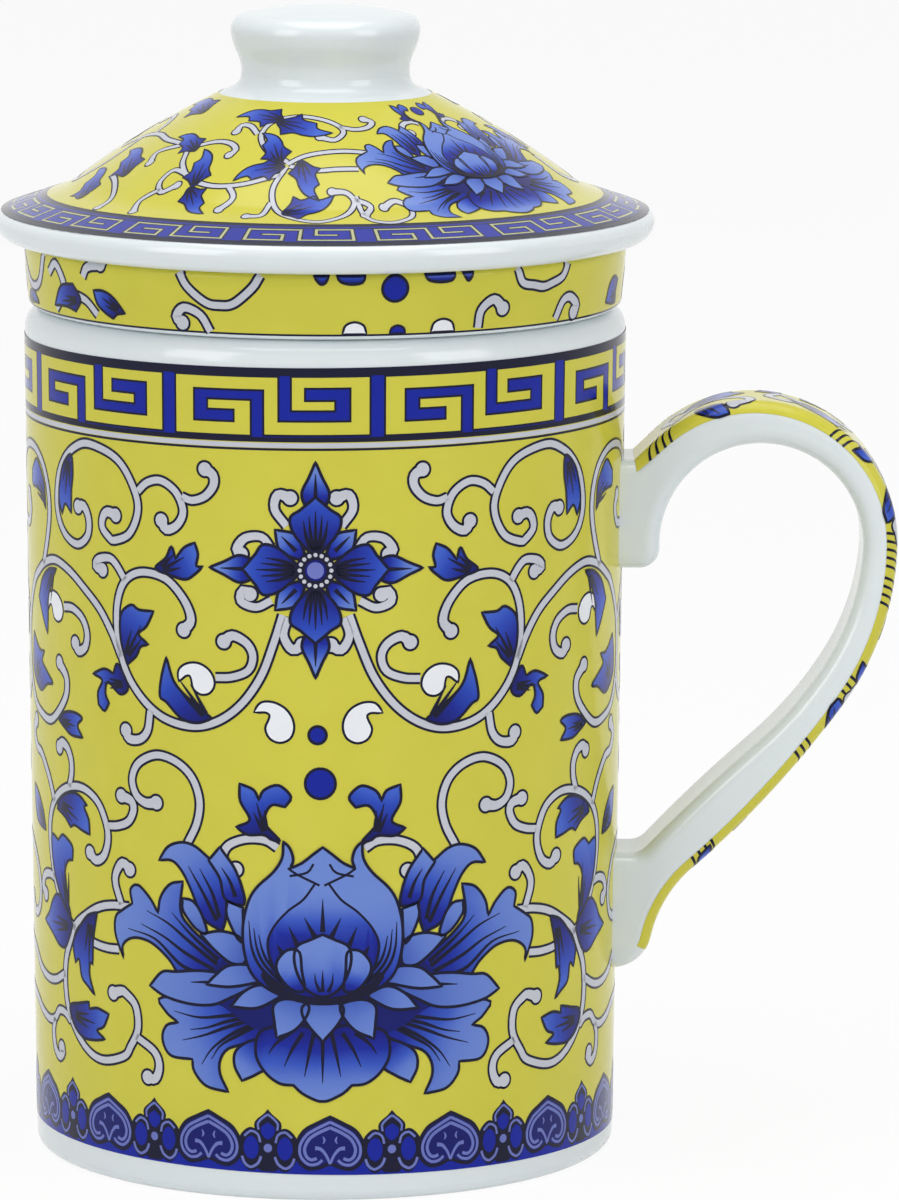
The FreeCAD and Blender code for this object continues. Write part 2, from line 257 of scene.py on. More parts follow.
class Ground:
    """A glazed surface to paint on. spot gives the place and outward direction on it for a sheet's across and
    up. The sheet is creased along across_creases and up_creases, so that each layer lies flat on the last."""

    def __init__(self, spot, across_creases, up_creases, to_sheet=None, to_flat=None):
        self.spot = spot
        self.creases = [np.asarray(across_creases, float), np.asarray(up_creases, float)]
        self.to_sheet = to_sheet or (lambda flat: flat)
        self.to_flat = to_flat or (lambda sheet: sheet)

    def lay(self, sheet, lift):
        """Places on the creased surface, raised by lift, and the smooth surface's outward directions."""
        cells, shares = [], []
        for value, creases in zip(sheet.T, self.creases):
            cell = np.clip(np.searchsorted(creases, value, "right") - 1, 0, len(creases) - 2)
            cells.append(cell)
            shares.append((value - creases[cell]) / (creases[cell + 1] - creases[cell]))
        places = np.zeros((len(sheet), 3))
        for right in (0, 1):
            for top in (0, 1):
                weight = abs(1 - right - shares[0]) * abs(1 - top - shares[1])
                corner, out = self.spot(self.creases[0][cells[0] + right], self.creases[1][cells[1] + top])
                places += weight[:, None] * (corner + out * lift[:, None])
        return places, self.spot(sheet[:, 0], sheet[:, 1])[1]


class Enamel:
    """The painted layers on one glazed piece."""

    def __init__(self, ground):
        self.ground = ground
        self.sheets, self.lifts, self.fades, self.faces, self.inks = [], [], [], [], []
        self.corners = 0

    def lay(self, points, faces, paint, layer, fade=None, on_sheet=False):
        """One patch of paint, cut along the ground's creases. fade is its base spot, 0, and tip spot, 1."""
        sheet = np.array(points if on_sheet else self.ground.to_sheet(points))
        sheet[:, 1] = np.clip(sheet[:, 1], self.ground.creases[1][0], self.ground.creases[1][-1])
        patch = bmesh.new()
        corners = [patch.verts.new((x, y, 0)) for x, y in sheet]
        for face in faces:
            patch.faces.new([corners[number] for number in face])
        patch.normal_update()
        bmesh.ops.triangulate(patch, faces=patch.faces[:], ngon_method="EAR_CLIP")
        for side, creases in enumerate(self.ground.creases):
            low, high = sheet[:, side].min(), sheet[:, side].max()
            facing = (1 - side, side, 0)
            for crease in creases[(creases > low + CREASE_CLEAR) & (creases < high - CREASE_CLEAR)]:
                everything = patch.verts[:] + patch.edges[:] + patch.faces[:]
                at = [crease * part for part in facing]
                bmesh.ops.bisect_plane(patch, geom=everything, dist=CUT_NEAR, plane_co=at, plane_no=facing)
        patch.verts.index_update()
        laid = np.array([corner.co[:2] for corner in patch.verts])
        self.faces += [[corner.index + self.corners for corner in face.verts] for face in patch.faces]
        self.inks += [PAINT_ORDER.index(paint)] * len(patch.faces)
        patch.free()
        self.corners += len(laid)
        self.sheets.append(laid)
        order = len(self.sheets) % PATCHES_TO_LAYER
        self.lifts.append(np.full(len(laid), FIRST_LIFT + LAYER_LIFT * layer + PATCH_LIFT * order))
        shade = np.zeros(len(laid))
        if fade is not None:
            base, tip = np.asarray(fade[0]), np.asarray(fade[1])
            shade = (self.ground.to_flat(laid) - base) @ (tip - base) / ((tip - base) @ (tip - base))
        self.fades.append(np.clip(shade, 0, 1))

    def made(self, name, body):
        """The finished piece, riding on its body."""
        places, outward = self.ground.lay(np.vstack(self.sheets), np.concatenate(self.lifts))
        faces = []
        for face in self.faces:
            a, b, c = places[face[0]], places[face[1]], places[face[2]]
            faces.append(face if np.cross(b - a, c - a) @ outward[face[0]] > 0 else face[::-1])
        mesh = bpy.data.meshes.new(name)
        mesh.from_pydata((places * MM).tolist(), [], faces)
        for paint in PAINT_ORDER:
            mesh.materials.append(PAINTS[paint])
        mesh.polygons.foreach_set("material_index", self.inks)
        mesh.polygons.foreach_set("use_smooth", [True] * len(faces))
        fade = mesh.attributes.new("fade", "FLOAT", "POINT")
        fade.data.foreach_set("value", np.concatenate(self.fades).astype(np.float32))
        mesh.update()
        mesh.normals_split_custom_set_from_vertices(outward.tolist())
        piece = bpy.data.objects.new(name, mesh)
        bpy.context.scene.collection.objects.link(piece)
        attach(piece, body)
        return piece


class Brush:
    """Draws each motif at every one of its places on a piece."""

    def __init__(self, enamel, places, scale=1.0):
        self.enamel, self.places, self.scale = enamel, places, scale

    def patch(self, spots, paint, layer, fade=None):
        """A filled outline."""
        for place in self.places:
            ring = outline(spots, place)
            ends = None if fade is None else place(np.array(fade, float))
            self.enamel.lay(ring, [tuple(range(len(ring)))], paint, layer, ends)

    def ribbon(self, line, wide, paint, layer, closed=False):
        """A stroke along a line already in its place, with its width at each point."""
        ring = np.vstack([line[-1:], line, line[:1]]) if closed else line
        heading = np.gradient(ring, axis=0)
        if closed:
            heading = heading[1:-1]
        heading /= np.maximum(np.linalg.norm(heading, axis=1), NO_LENGTH)[:, None]
        side = np.column_stack([-heading[:, 1], heading[:, 0]]) * np.asarray(wide)[:, None] / 2
        count = len(line)
        steps = range(count if closed else count - 1)
        faces = [(k, (k + 1) % count, (k + 1) % count + count, k + count) for k in steps]
        self.enamel.lay(np.vstack([line - side, line + side]), faces, paint, layer)

    def stroke(self, spots, wide, paint="navy", layer=LEAF_VEIN):
        """A stroke through spots. wide is its width at one or more even steps along it."""
        wide = np.atleast_1d(wide) * self.scale
        for place in self.places:
            line = through(place(np.array(spots, float)))
            reach = along(line) / along(line)[-1]
            self.ribbon(line, np.interp(reach, np.linspace(0, 1, len(wide)), wide), paint, layer)

    def rim(self, spots, wide=EDGE_WIDE, paint="navy", layer=LEAF_EDGE):
        """A line round an outline."""
        for place in self.places:
            ring = outline(spots, place)
            self.ribbon(ring, np.full(len(ring), wide * self.scale), paint, layer, closed=True)

    def dot(self, centre, radius, paint, layer):
        """A round dot."""
        turns = np.linspace(0, FULL_TURN, DISC_SIDES, endpoint=False)
        disc = np.column_stack([np.cos(turns), np.sin(turns)]) * radius * self.scale
        for place in self.places:
            spots = place(np.array([centre[:2]], float)) + disc
            self.enamel.lay(spots, [tuple(range(DISC_SIDES))], paint, layer)

    def ringed_dot(self, centre, radius, paint, layer=VINE_FILL):
        """A round dot with a dark edge."""
        self.dot(centre, radius + EDGE_WIDE / 2, "navy", layer - 1)
        self.dot(centre, radius - EDGE_WIDE / 2, paint, layer)

    def vine(self, spots, bulbs="end"):
        """A pale tendril with dark edges that swells into a bulb at its start, end, both or neither."""
        for place in self.places:
            line = through(place(np.array(spots, float)))
            reach = along(line)
            wide = np.full(len(line), VINE_WIDE * self.scale)
            if bulbs in ("start", "both"):
                wide += VINE_SWELL * self.scale * np.exp(-reach / VINE_SWELL_REACH / self.scale)
            if bulbs in ("end", "both"):
                wide += VINE_SWELL * self.scale * np.exp(-(reach[-1] - reach) / VINE_SWELL_REACH / self.scale)
            self.ribbon(line, wide + 2 * VINE_EDGE_WIDE * self.scale, "navy", VINE_EDGE)
            self.ribbon(line, wide, "vine", VINE_FILL)
        for end, spot in (("start", spots[0]), ("end", spots[-1])):
            if bulbs in (end, "both"):
                self.dot(spot, BULB_RADIUS + VINE_EDGE_WIDE, "navy", VINE_EDGE)
                self.dot(spot, BULB_RADIUS, "vine", VINE_FILL)

    def comma(self, centre, radius, turn=0.0):
        """A white comma: a round head with a tail that curls over it, turned clockwise by turn degrees."""
        c, s = math.cos(math.radians(turn)) * radius, math.sin(math.radians(turn)) * radius
        spots = [(centre[0] + x * c + y * s, centre[1] + y * c - x * s, *tip) for x, y, *tip in COMMA]
        self.patch(spots, "white", VINE_FILL)
        self.rim(spots, 2 * VINE_EDGE_WIDE, "navy", VINE_EDGE)

    def leaf(self, spots, base, tip, veins=(), paint="leaf", layer=LEAF):
        """A leaf or petal: shaded from its base to its tip, with dark veins and a dark edge."""
        self.patch(spots, paint, layer, (base[:2], tip[:2]))
        for vein in veins:
            self.stroke(vein, VEIN_WIDE, layer=layer + 1)
        self.rim(spots, layer=layer + 2)

    def sprig_leaf(self, spots, base, tip, spread=0.9):
        """A leaf whose three veins fan out from its base, the outer two by spread."""
        base_spot, tip_spot = np.array(base[:2], float), np.array(tip[:2], float)
        way = tip_spot - base_spot
        aside = np.array([-way[1], way[0]]) / np.linalg.norm(way) * spread
        veins = [
            [
                base_spot + way * (ahead - shorter * abs(turn)) + aside * out * turn
                for ahead, out, shorter in SPRIG_VEIN
            ]
            for turn in (-1, 0, 1)
        ]
        self.leaf(spots, base, tip, veins)


# A leaf with two lobes a side, one long from its base to its tip.
LOBED_LEAF = [
    (0.0, 0.03), (0.12, 0.13), (0.24, 0.22), (0.32, 0.36, TIP), (0.44, 0.22), (0.58, 0.22), (0.72, 0.24, TIP),
    (0.80, 0.12), (0.94, 0.12), (1.12, 0.16, TIP), (1.0, 0.0), (0.84, -0.12), (0.64, -0.17), (0.46, -0.18),
    (0.26, -0.30, TIP), (0.16, -0.15), (0.04, -0.06),
]
LOBED_BASE, LOBED_TIP, LOBED_SPREAD = (0, 0), (0.9, 0), 0.12


def band(enamel, low, high, paint, layer, settle=lambda across, up: up):
    """A band of paint once round a piece, whose ground's creases go twice round."""
    across = enamel.ground.creases[0]
    half_round = (across[-1] - across[0]) / 4
    across = across[abs(across) < half_round + SPOT_NEAR]
    points = [np.column_stack([across, settle(across, np.full(len(across), edge))]) for edge in (low, high)]
    count = len(across)
    faces = [(k, k + 1, k + 1 + count, k + count) for k in range(count - 1)]
    enamel.lay(np.vstack(points), faces, paint, layer, on_sheet=True)


# Key fret: one strip of the band turns through these spots, with each run's own width.

FRET_STRIP = [
    (-14.1, 100.25), (-9.7, 100.25), (-9.7, 97.3), (-17.3, 97.3), (-17.3, 102.96), (-6.1, 102.96),
    (-6.1, 97.4), (4.9, 97.4), (4.9, 103.1), (-2.75, 103.1), (-2.75, 100.2), (1.67, 100.2),
]
FRET_RUNS = [1.0, 1.9, 1.45, 2.3, 1.45, 1.6, 1.5, 2.2, 1.2, 1.45, 1.0]


def fret_strip(enamel, place, strip, runs, edge, paint, layer):
    """One strip of the key fret, laid run by run, with each run grown by the edge's width."""
    for number, (start, end) in enumerate(zip(strip, strip[1:])):
        level = start[1] == end[1]
        ahead = np.sign(end[0] - start[0] if level else end[1] - start[1])
        behind_wide = runs[number - 1] / 2 if number else 0.0
        beyond_wide = runs[number + 1] / 2 if number < len(runs) - 1 else 0.0
        near = start[0 if level else 1] - ahead * (behind_wide + edge)
        far = end[0 if level else 1] + ahead * (beyond_wide + edge)
        half = runs[number] / 2 + edge
        low, high = (start[1] - half, start[1] + half) if level else (start[0] - half, start[0] + half)
        corners = [(near, low), (far, low), (far, high), (near, high)]
        if not level:
            corners = [(low, near), (high, near), (high, far), (low, far)]
        enamel.lay(place(np.array(corners)), [(0, 1, 2, 3)], paint, layer, on_sheet=True)


# Lotus and scrolls, read on the right half: across from the middle of the front, up from the foot.

LOTUS_AXIS, LOTUS_FOOT, LOTUS_TALL, LOTUS_HALF_WIDE = 0.3, 13.0, 32.0, 29.7


def lotus(pair, middle, axis=LOTUS_AXIS):
    """The open lotus: pair draws each side petal and its mirror, and middle draws what stands on the axis."""
    pair.leaf(
        [(12.2, 29.75), (14.4, 31.4), (17.6, 33.9), (19, 36), (18.5, 39.75, TIP), (20.4, 39.2), (21.9, 37.4),
         (22.4, 35.3, TIP), (23.6, 37.1), (25.4, 38.5), (26.7, 37.8), (26.5, 36, TIP), (28.3, 34.9),
         (29.5, 33.9), (29.7, 31.7), (28.4, 28.7, TIP), (28.5, 30.3), (27.2, 31.4), (25.4, 31.7),
         (23.3, 31.2), (21.1, 29.6), (19.7, 27.8), (18.3, 26.9), (15.8, 26), (12.4, 27.6)],
        (13, 28), (28, 34.5),
        [[(14, 28.6), (18.5, 30.6), (21.7, 32.4), (25.2, 33.6)],
         [(14.2, 29.6), (18, 32.2), (21, 34.2), (24.2, 35.4)],
         [(14.5, 28), (19, 28.9), (23, 31.9), (27.4, 32.7)], [(14, 30.2), (17.8, 33.2), (20.3, 35.6)]],
        "petal", PETAL_BACK)
    pair.leaf(
        [(7.2, 24.6), (12, 24.9), (22.2, 24.6), (21.9, 22.8), (20.1, 21.6, TIP), (21.9, 21), (22.6, 19.2),
         (21.5, 17.25), (18.3, 17.1, TIP), (18.1, 15.6), (16.5, 13.9), (13.5, 13.4, TIP), (14.5, 15.6),
         (14.4, 17.4), (13.3, 18.9), (10.8, 19.9), (7.6, 21.7)],
        (8.5, 23.6), (20.5, 17.5),
        [[(9, 23.8), (13, 23.2), (17, 22.6), (20.6, 23)], [(9, 23.2), (13, 21.8), (16.4, 20.4), (19.6, 19.4)],
         [(9, 22.7), (12.6, 20.9), (15.4, 18.8), (17, 16.6)],
         [(9.2, 23.5), (13, 22.5), (16, 21.4), (18.4, 20.9)],
         [(9, 22.4), (11.6, 20.9), (14.2, 19.3), (15.6, 17.4)]],
        "petal", PETAL_BACK)
    pair.patch(
        [(axis, 30), (9, 31.4), (12.4, 31), (14.6, 29), (16.4, 27.4), (17.4, 25.4), (13.6, 24.2), (9, 21.6),
         (axis, 20.6)],
        "deep", PETAL_BACK + 2)
    middle.leaf(
        both_sides([(axis, 22), (3.6, 22.6), (7.2, 22.1), (8.6, 21), (8.8, 18.5), (7.6, 16.4), (5.8, 15.1),
                    (4, 14.9, TIP), (2.9, 13.9), (1.1, 13), (axis, 12.9)],
                   axis),
        (axis, 21.5), (axis, 13.4),
        [[(axis, 21.6), (axis, 19), (axis, 15.2)], [(1.4, 21.6), (2, 19), (2.6, 16)],
         [(-0.8, 21.6), (-1.4, 19), (-2, 16)], [(2.8, 21.6), (4.2, 19.4), (5.2, 17.2)],
         [(-2.2, 21.6), (-3.6, 19.4), (-4.6, 17.2)], [(4.4, 21.6), (6.2, 20.2), (7.2, 18.8)],
         [(-3.8, 21.6), (-5.6, 20.2), (-6.6, 18.8)]],
        "petal", PETAL_FRONT)
    pair.leaf(
        [(7.4, 20.6), (10.2, 20.2), (12.2, 18.8), (12.5, 16.9), (11.6, 15.0, TIP), (9.6, 16.0), (7.8, 17.4)],
        (8, 20.5), (11.6, 15.4), [], "petal", PETAL_MIDDLE)
    pair.leaf(
        [(14.7, 43.1, TIP), (16.5, 44.4), (18.3, 44.75), (20.4, 44), (21.9, 42.1, TIP), (19.9, 42.25),
         (18.5, 41), (17.4, 38.9), (15.8, 35.3), (13.3, 33.9, TIP), (12.75, 35.6), (12.6, 38.1),
         (13.3, 40.6)],
        (13.4, 34.6), (18.5, 44.6),
        [[(13.6, 35.6), (14.4, 38.6), (16, 41.6)], [(14, 35.2), (15.6, 38.4), (17.6, 41.8)]], "petal",
        PETAL_BACK)
    pair.leaf(
        [(10.1, 38.1), (11.1, 41.7), (13.1, 44.6, TIP), (14.7, 42.8, TIP), (13.3, 40.6), (12.75, 38.1),
         (10.8, 37.4)],
        (11, 37.6), (13.6, 43.6), [[(11.3, 38.4), (12, 40.4), (13, 42)]], "petal", PETAL_MIDDLE)
    pair.leaf(
        [(10.4, 37.1, TIP), (12.4, 37.8, TIP), (12.6, 36), (11.3, 33.1), (10.6, 33.1)], (10.8, 33.2),
        (12.2, 37.5), [], "pale", PETAL_MIDDLE)
    pair.leaf(
        [(16.1, 36), (17.2, 37.4), (18.6, 37.6, TIP), (18.6, 36), (16.9, 33.9), (15.4, 33.5)], (16, 33.9),
        (18.4, 37.4), [], "pale", PETAL_MIDDLE)
    pair.leaf(
        [(10.8, 33.1), (13.3, 33.9), (16.3, 33.3, TIP), (14.4, 31.4), (12.2, 29.9), (10.4, 30.3)],
        (10.6, 31.2), (16, 33.2), [], "pale", PETAL_MIDDLE)
    pair.leaf(
        [(9, 27.4, TIP), (12.5, 28.4), (16.4, 28.6), (20.1, 28.1), (22.2, 27.8), (24.2, 25.8, TIP),
         (21.9, 24.75), (18.3, 24.2), (15.1, 24.4), (12.6, 25.5)],
        (12, 26.6), (23.8, 26), [[(13, 26.9), (15.4, 27.2), (18, 27)]], "pale", PETAL_MIDDLE)
    pair.leaf(
        [(9.7, 29.75), (12.6, 29.6), (14.4, 28.3), (15.8, 26.9, TIP), (12.6, 26.9), (9.4, 27.6), (8.5, 28)],
        (8.8, 28.8), (15.4, 27), [], "pale", PETAL_FORE)
    pair.leaf(
        [(6.1, 26.4), (8.5, 27.4), (10.8, 26.4), (12.6, 24.4, TIP), (9.4, 24.4), (7, 25.5)], (6.8, 26.4),
        (12.2, 24.6), [], "pale", PETAL_FORE)
    pair.leaf(
        [(2.75, 25.3), (5.4, 25.8), (7, 24.9), (7, 22.8), (6.8, 20.8, TIP), (4.4, 21.9), (2.75, 23.9)],
        (4.4, 25.4), (6.6, 21.2), [], "pale", PETAL_FORE)
    middle.leaf(
        both_sides([(axis, 25.6), (2.6, 25.2), (2.9, 24), (2.0, 22.4), (axis, 20.5, TIP)], axis),
        (axis, 25.4), (axis, 20.9), [], "pale", PETAL_FORE)

    bud = [(axis, 45.1, TIP), (1.5, 44.2), (2.9, 43.1), (4.4, 42.4, TIP), (4.0, 43.5), (4.4, 44.9),
           (5.25, 45.8, TIP), (5.4, 43.7), (6.5, 41.9), (8.6, 39.9), (9.7, 38.1), (10.4, 35.3), (10.4, 32.4),
           (9.7, 29.6), (8.3, 27.8), (5.8, 26.4), (2.6, 25.5), (axis, 25.3)]
    middle.leaf(both_sides(bud, axis), (axis, 25), (axis, 38), (), "petal", BUD)
    within = [(axis, 40.4, TIP), (1.0, 40.0), (2.6, 38.5), (4.7, 36.9), (6.5, 34.9), (7.4, 32.8), (7.0, 30.3),
              (5.8, 27.8), (axis, 26)]
    middle.patch(both_sides(within, axis), "petal", BUD + 1, ((axis, 32.5), (axis, 39.5)))
    for fold in ([(9.7, 35.5), (9.5, 32.2), (8.6, 29.9), (6.6, 27.9), (4.2, 26.8)],
                 [(9.1, 34.6), (8.8, 32), (7.9, 30), (6.2, 28.3), (4.2, 27.3)],
                 [(8.5, 33.8), (8.1, 31.8), (7.4, 30.3), (5.9, 28.8), (4.4, 27.9)]):
        pair.stroke(fold, FOLD_WIDE, layer=BUD + 2)
    pair.stroke([(1.15, 43), (2.0, 41.9), (4.2, 41.4)], LIP_WIDE, layer=BUD + 2)
    pair.stroke([(4.4, 42.4), (3.2, 41.6), (axis + 0.2, 40.3)], LIP_WIDE, layer=BUD + 2)
    pair.stroke(
        [(1.0, 40.6), (2.6, 38.5), (4.7, 36.9), (6.5, 34.9), (7.4, 32.8), (7.0, 30.3), (5.8, 27.8)],
        [0.3, 0.3, 0.4], layer=BUD + 2)
    for top, foot in (((2.6, 36.2), (1.4, 33.8)), ((4.6, 35), (3.6, 32.6)), ((6.2, 32.6), (5.6, 31.6))):
        pair.stroke(
            [foot, ((top[0] + foot[0]) / 2, (top[1] + foot[1]) / 2), top], SHADE_WIDE, layer=BUD + 2)
    middle.stroke([(axis, 34.4), (axis, 36), (axis, 38.6)], SHADE_WIDE, layer=BUD + 2)
    pair.leaf(
        [(3.4, 31.8), (4.6, 32.1), (5.6, 31.5), (6.4, 30.2), (6.1, 28.7), (4.6, 27), (3.0, 27), (3.2, 29.4)],
        (4.4, 26.4), (5.2, 30.4), [], "petal", BUD_INNER)
    middle.leaf(
        both_sides([(axis, 34.1, TIP), (1.9, 33.4), (3.5, 32.6), (3.9, 31), (3.4, 28.9), (2.2, 27),
                    (axis, 26.2)],
                   axis),
        (axis, 25.6), (axis, 31.4), [], "petal", BUD_INNER + 1)
    middle.stroke([(axis, 26.8), (axis, 28.2), (axis, 29.6)], HEART_SHADE_WIDE, layer=BUD_INNER + 3)
    pair.stroke([(1.0, 26.8), (1.5, 28), (1.6, 29.2)], HEART_SHADE_WIDE, layer=BUD_INNER + 3)
    middle.patch(
        both_sides([(axis, 26.1), (2.4, 26.3), (5.3, 27.2), (7.6, 29.2), (8.1, 28.6), (6.8, 27), (4.6, 26),
                    (axis, 25.3)],
                   axis),
        "navy", BUD_INNER + 4)


def finial(brush):
    """The small leaf and curl at the lotus's shoulder."""
    brush.vine(
        [(5.6, 44.9), (7.2, 45.8), (9.7, 45.8), (11.9, 44.9), (12.75, 43.5), (12.4, 42.1), (11.1, 41.9)])
    brush.sprig_leaf(
        [(5.25, 45.8), (6.5, 46), (7.2, 46.5), (9.4, 46.4), (10.8, 47.3, TIP), (9, 48.3), (10.1, 50.6),
         (10.1, 52.8, TIP), (8.3, 52.1), (7.7, 50.8, TIP), (7, 52.1), (5.1, 52.8), (3.6, 51.4),
         (4.4, 50.1, TIP), (6, 50.3), (6.9, 49.2), (7, 47.8)],
        (7, 46.6), (8.4, 52), 0.7)


def wall_scrolls(brush):
    """The tendrils, leaves and commas of the mug's wall."""
    brush.vine(
        [(3.6, 74.2), (4.9, 70.6), (6.7, 66.4), (9.4, 62.8), (12.6, 60.5), (16.1, 59.6), (20.1, 60.3),
         (23.3, 62.4), (25.8, 65.6), (27.0, 69.6), (26.9, 73.9), (25.4, 77.1), (22.6, 78.5), (19.0, 78.0),
         (16.5, 75.6), (15.6, 73.1), (16.7, 71.7)])
    brush.vine([(22.2, 61), (22.75, 58.5), (24, 57.25), (25.8, 57.1), (26.3, 58.1)])
    brush.vine([(25.4, 77.3), (26.7, 79), (27.9, 79.75), (29.9, 79.4), (30.6, 78.5), (29.3, 78.1)])
    brush.vine(
        [(11.3, 70.6), (10.1, 71.4), (8.3, 70.5), (7.6, 68.9), (8.3, 67.1), (10.4, 66.2), (12.6, 66.0)],
        "start")
    brush.comma((14.4, 65.3), 1.45, 35)
    brush.vine([(12.75, 92.1), (11.7, 91.4), (11.7, 90.1), (12.9, 88.7), (14.7, 88.1), (16.1, 88.5)], "start")
    brush.vine(
        [(22.6, 88.7), (21.1, 89.9), (19.0, 90.3), (16.9, 89.0), (16.0, 86.7), (16.9, 84.9), (18.5, 84.2),
         (19.2, 85.3)])
    brush.vine(
        [(26.5, 85.3), (27.9, 85.6), (28.8, 84.9), (29.0, 83.5), (27.7, 82.3), (26.9, 82.1), (24.4, 83.1),
         (22.9, 85.6), (22.9, 88.1), (24.7, 91.4), (27.2, 93.1), (31.3, 93.9), (34.1, 93.1), (36.6, 91.4),
         (38.4, 88.9), (39.1, 85.6), (38.4, 83.1), (36.6, 81.4), (34.1, 80.8), (32.0, 82.1), (31.6, 84.2),
         (32.5, 85.8), (33.8, 85.6)],
        "both")
    brush.vine(
        [(26.6, 67.4), (28.1, 70.3), (30.2, 73.1), (33.1, 75.3), (36.3, 77.1), (39.9, 78.0), (43.1, 77.4),
         (45.9, 76), (48.8, 73.9), (52, 69), (52.5, 63), (50, 58.8), (46.5, 57.3), (42.7, 57.2), (38.8, 60.3),
         (38.1, 63.1), (39.9, 64.9)])
    brush.vine(
        [(35.6, 68.0), (34.9, 67.1), (33.4, 67.8), (32.9, 69.6), (33.8, 71.4), (35.9, 72.4), (38.1, 72.3)],
        "start")
    brush.comma((40, 71.7), 1.45, 45)
    brush.vine(
        [(44.1, 77), (42.4, 80.6), (41.5, 83.9), (41.8, 87.1), (43.4, 89.9), (46.3, 91.5), (49.9, 91.7),
         (53.4, 90.6), (56, 87.8), (56.4, 84.2), (54.4, 81.6), (51.4, 81.4), (50, 83.4), (51, 85)])

    brush.vine([(52.3, 61.6), (54.6, 58.8), (57.2, 58.6), (58.4, 60.8), (57.0, 62.6)])
    brush.vine([(52.4, 68.6), (54.6, 71.4), (57.2, 74.6), (58.2, 78.4), (56.8, 80.6)])
    brush.vine([(59.8, 91.6), (58.6, 88.8), (56.4, 86.4)], "start")
    brush.vine([(57.9, 76.2), (58.9, 72.2), (59.9, 70.2)], "none")

    brush.sprig_leaf(
        [(54.6, 70.9, TIP), (56.2, 70.6), (57.8, 68.6), (58.2, 65.6, TIP), (56.6, 66.4), (55.2, 66.2, TIP),
         (54.9, 68.6)],
        (55.2, 70.2), (57.6, 66.2), 0.5)
    brush.sprig_leaf(
        [(13.3, 60.8, TIP), (15.8, 62.6), (18.3, 64.9), (19.4, 68.1, TIP), (20.3, 65.3), (20.6, 63.0),
         (19.7, 62.4), (17.6, 60.5), (15.4, 60.1)],
        (14, 60.8), (19.4, 67.6))
    brush.sprig_leaf(
        [(14.6, 82.8, TIP), (16.1, 82.1), (17.4, 80.6, TIP), (17.9, 82.1), (18.8, 80.6), (20.4, 79.2),
         (18.3, 78.5), (16.1, 78.1), (14.7, 78.9), (13.6, 79.9, TIP), (14.5, 79.9), (14.2, 81.4)],
        (19.6, 79), (14.8, 81.6))
    brush.sprig_leaf(
        [(21.0, 73.7, TIP), (23.3, 73.7), (24.5, 74.2), (26.3, 72.8), (26.5, 69.6), (25.6, 66.5, TIP),
         (24.0, 67.8), (23.3, 69.0), (22.0, 69.4, TIP), (23.5, 70.6), (22.2, 71.7)],
        (25.8, 67.4), (22, 73.4))
    brush.sprig_leaf(
        [(25.6, 63.7), (27.2, 66.4), (28.1, 65.1, TIP), (29.7, 65.5), (32.0, 64.6, TIP), (30.2, 64.0),
         (31.1, 62.4), (31.1, 60.8, TIP), (30.0, 60.1), (29.1, 61.2, TIP), (29.7, 62.4), (29.1, 63.9),
         (27, 62.6)],
        (26.2, 63.9), (31.4, 63.6), 0.6)
    brush.sprig_leaf(
        [(35, 92.1), (34.7, 89.9), (35.2, 87.4), (35.4, 84.6, TIP), (36.8, 85.6), (37.7, 84.2, TIP),
         (38.4, 86), (38.1, 88.1), (37, 90.6)],
        (35.6, 91.6), (37.2, 85))
    brush.sprig_leaf(
        [(39.9, 76.9, TIP), (42.4, 76.5), (44.9, 74.9), (46.5, 72.4, TIP), (45.6, 71), (44.5, 69.4),
         (43.4, 68.1, TIP), (43.1, 70.3), (42.7, 72.8), (41.3, 75.3)],
        (41, 76.4), (44.4, 69.6))
    brush.sprig_leaf(
        [(42.2, 61.9), (44.1, 63.1), (45.9, 64.2), (44.9, 65.6, TIP), (47, 65.6), (49.9, 67.4, TIP),
         (50.6, 64.4), (50.2, 62.1), (47, 60.3), (44.1, 61.5)],
        (48.8, 61.8), (46, 65.4))
    brush.sprig_leaf(
        [(34.7, 58.5), (36.3, 59), (38.8, 58.7), (40.6, 57.4, TIP), (39.1, 56.7), (37.4, 56), (34.7, 56, TIP),
         (35.8, 57.4)],
        (40, 57.4), (35, 57.2), 0.5)
    brush.sprig_leaf(
        [(46.3, 90.1), (48.4, 88.5, TIP), (48.3, 86.7), (46.5, 86.5), (44.5, 86), (42.7, 84.2, TIP),
         (43.1, 87.4), (44.9, 89.6)],
        (43, 85.2), (47.8, 88))
    brush.comma((4.7, 59.9), 1.6)


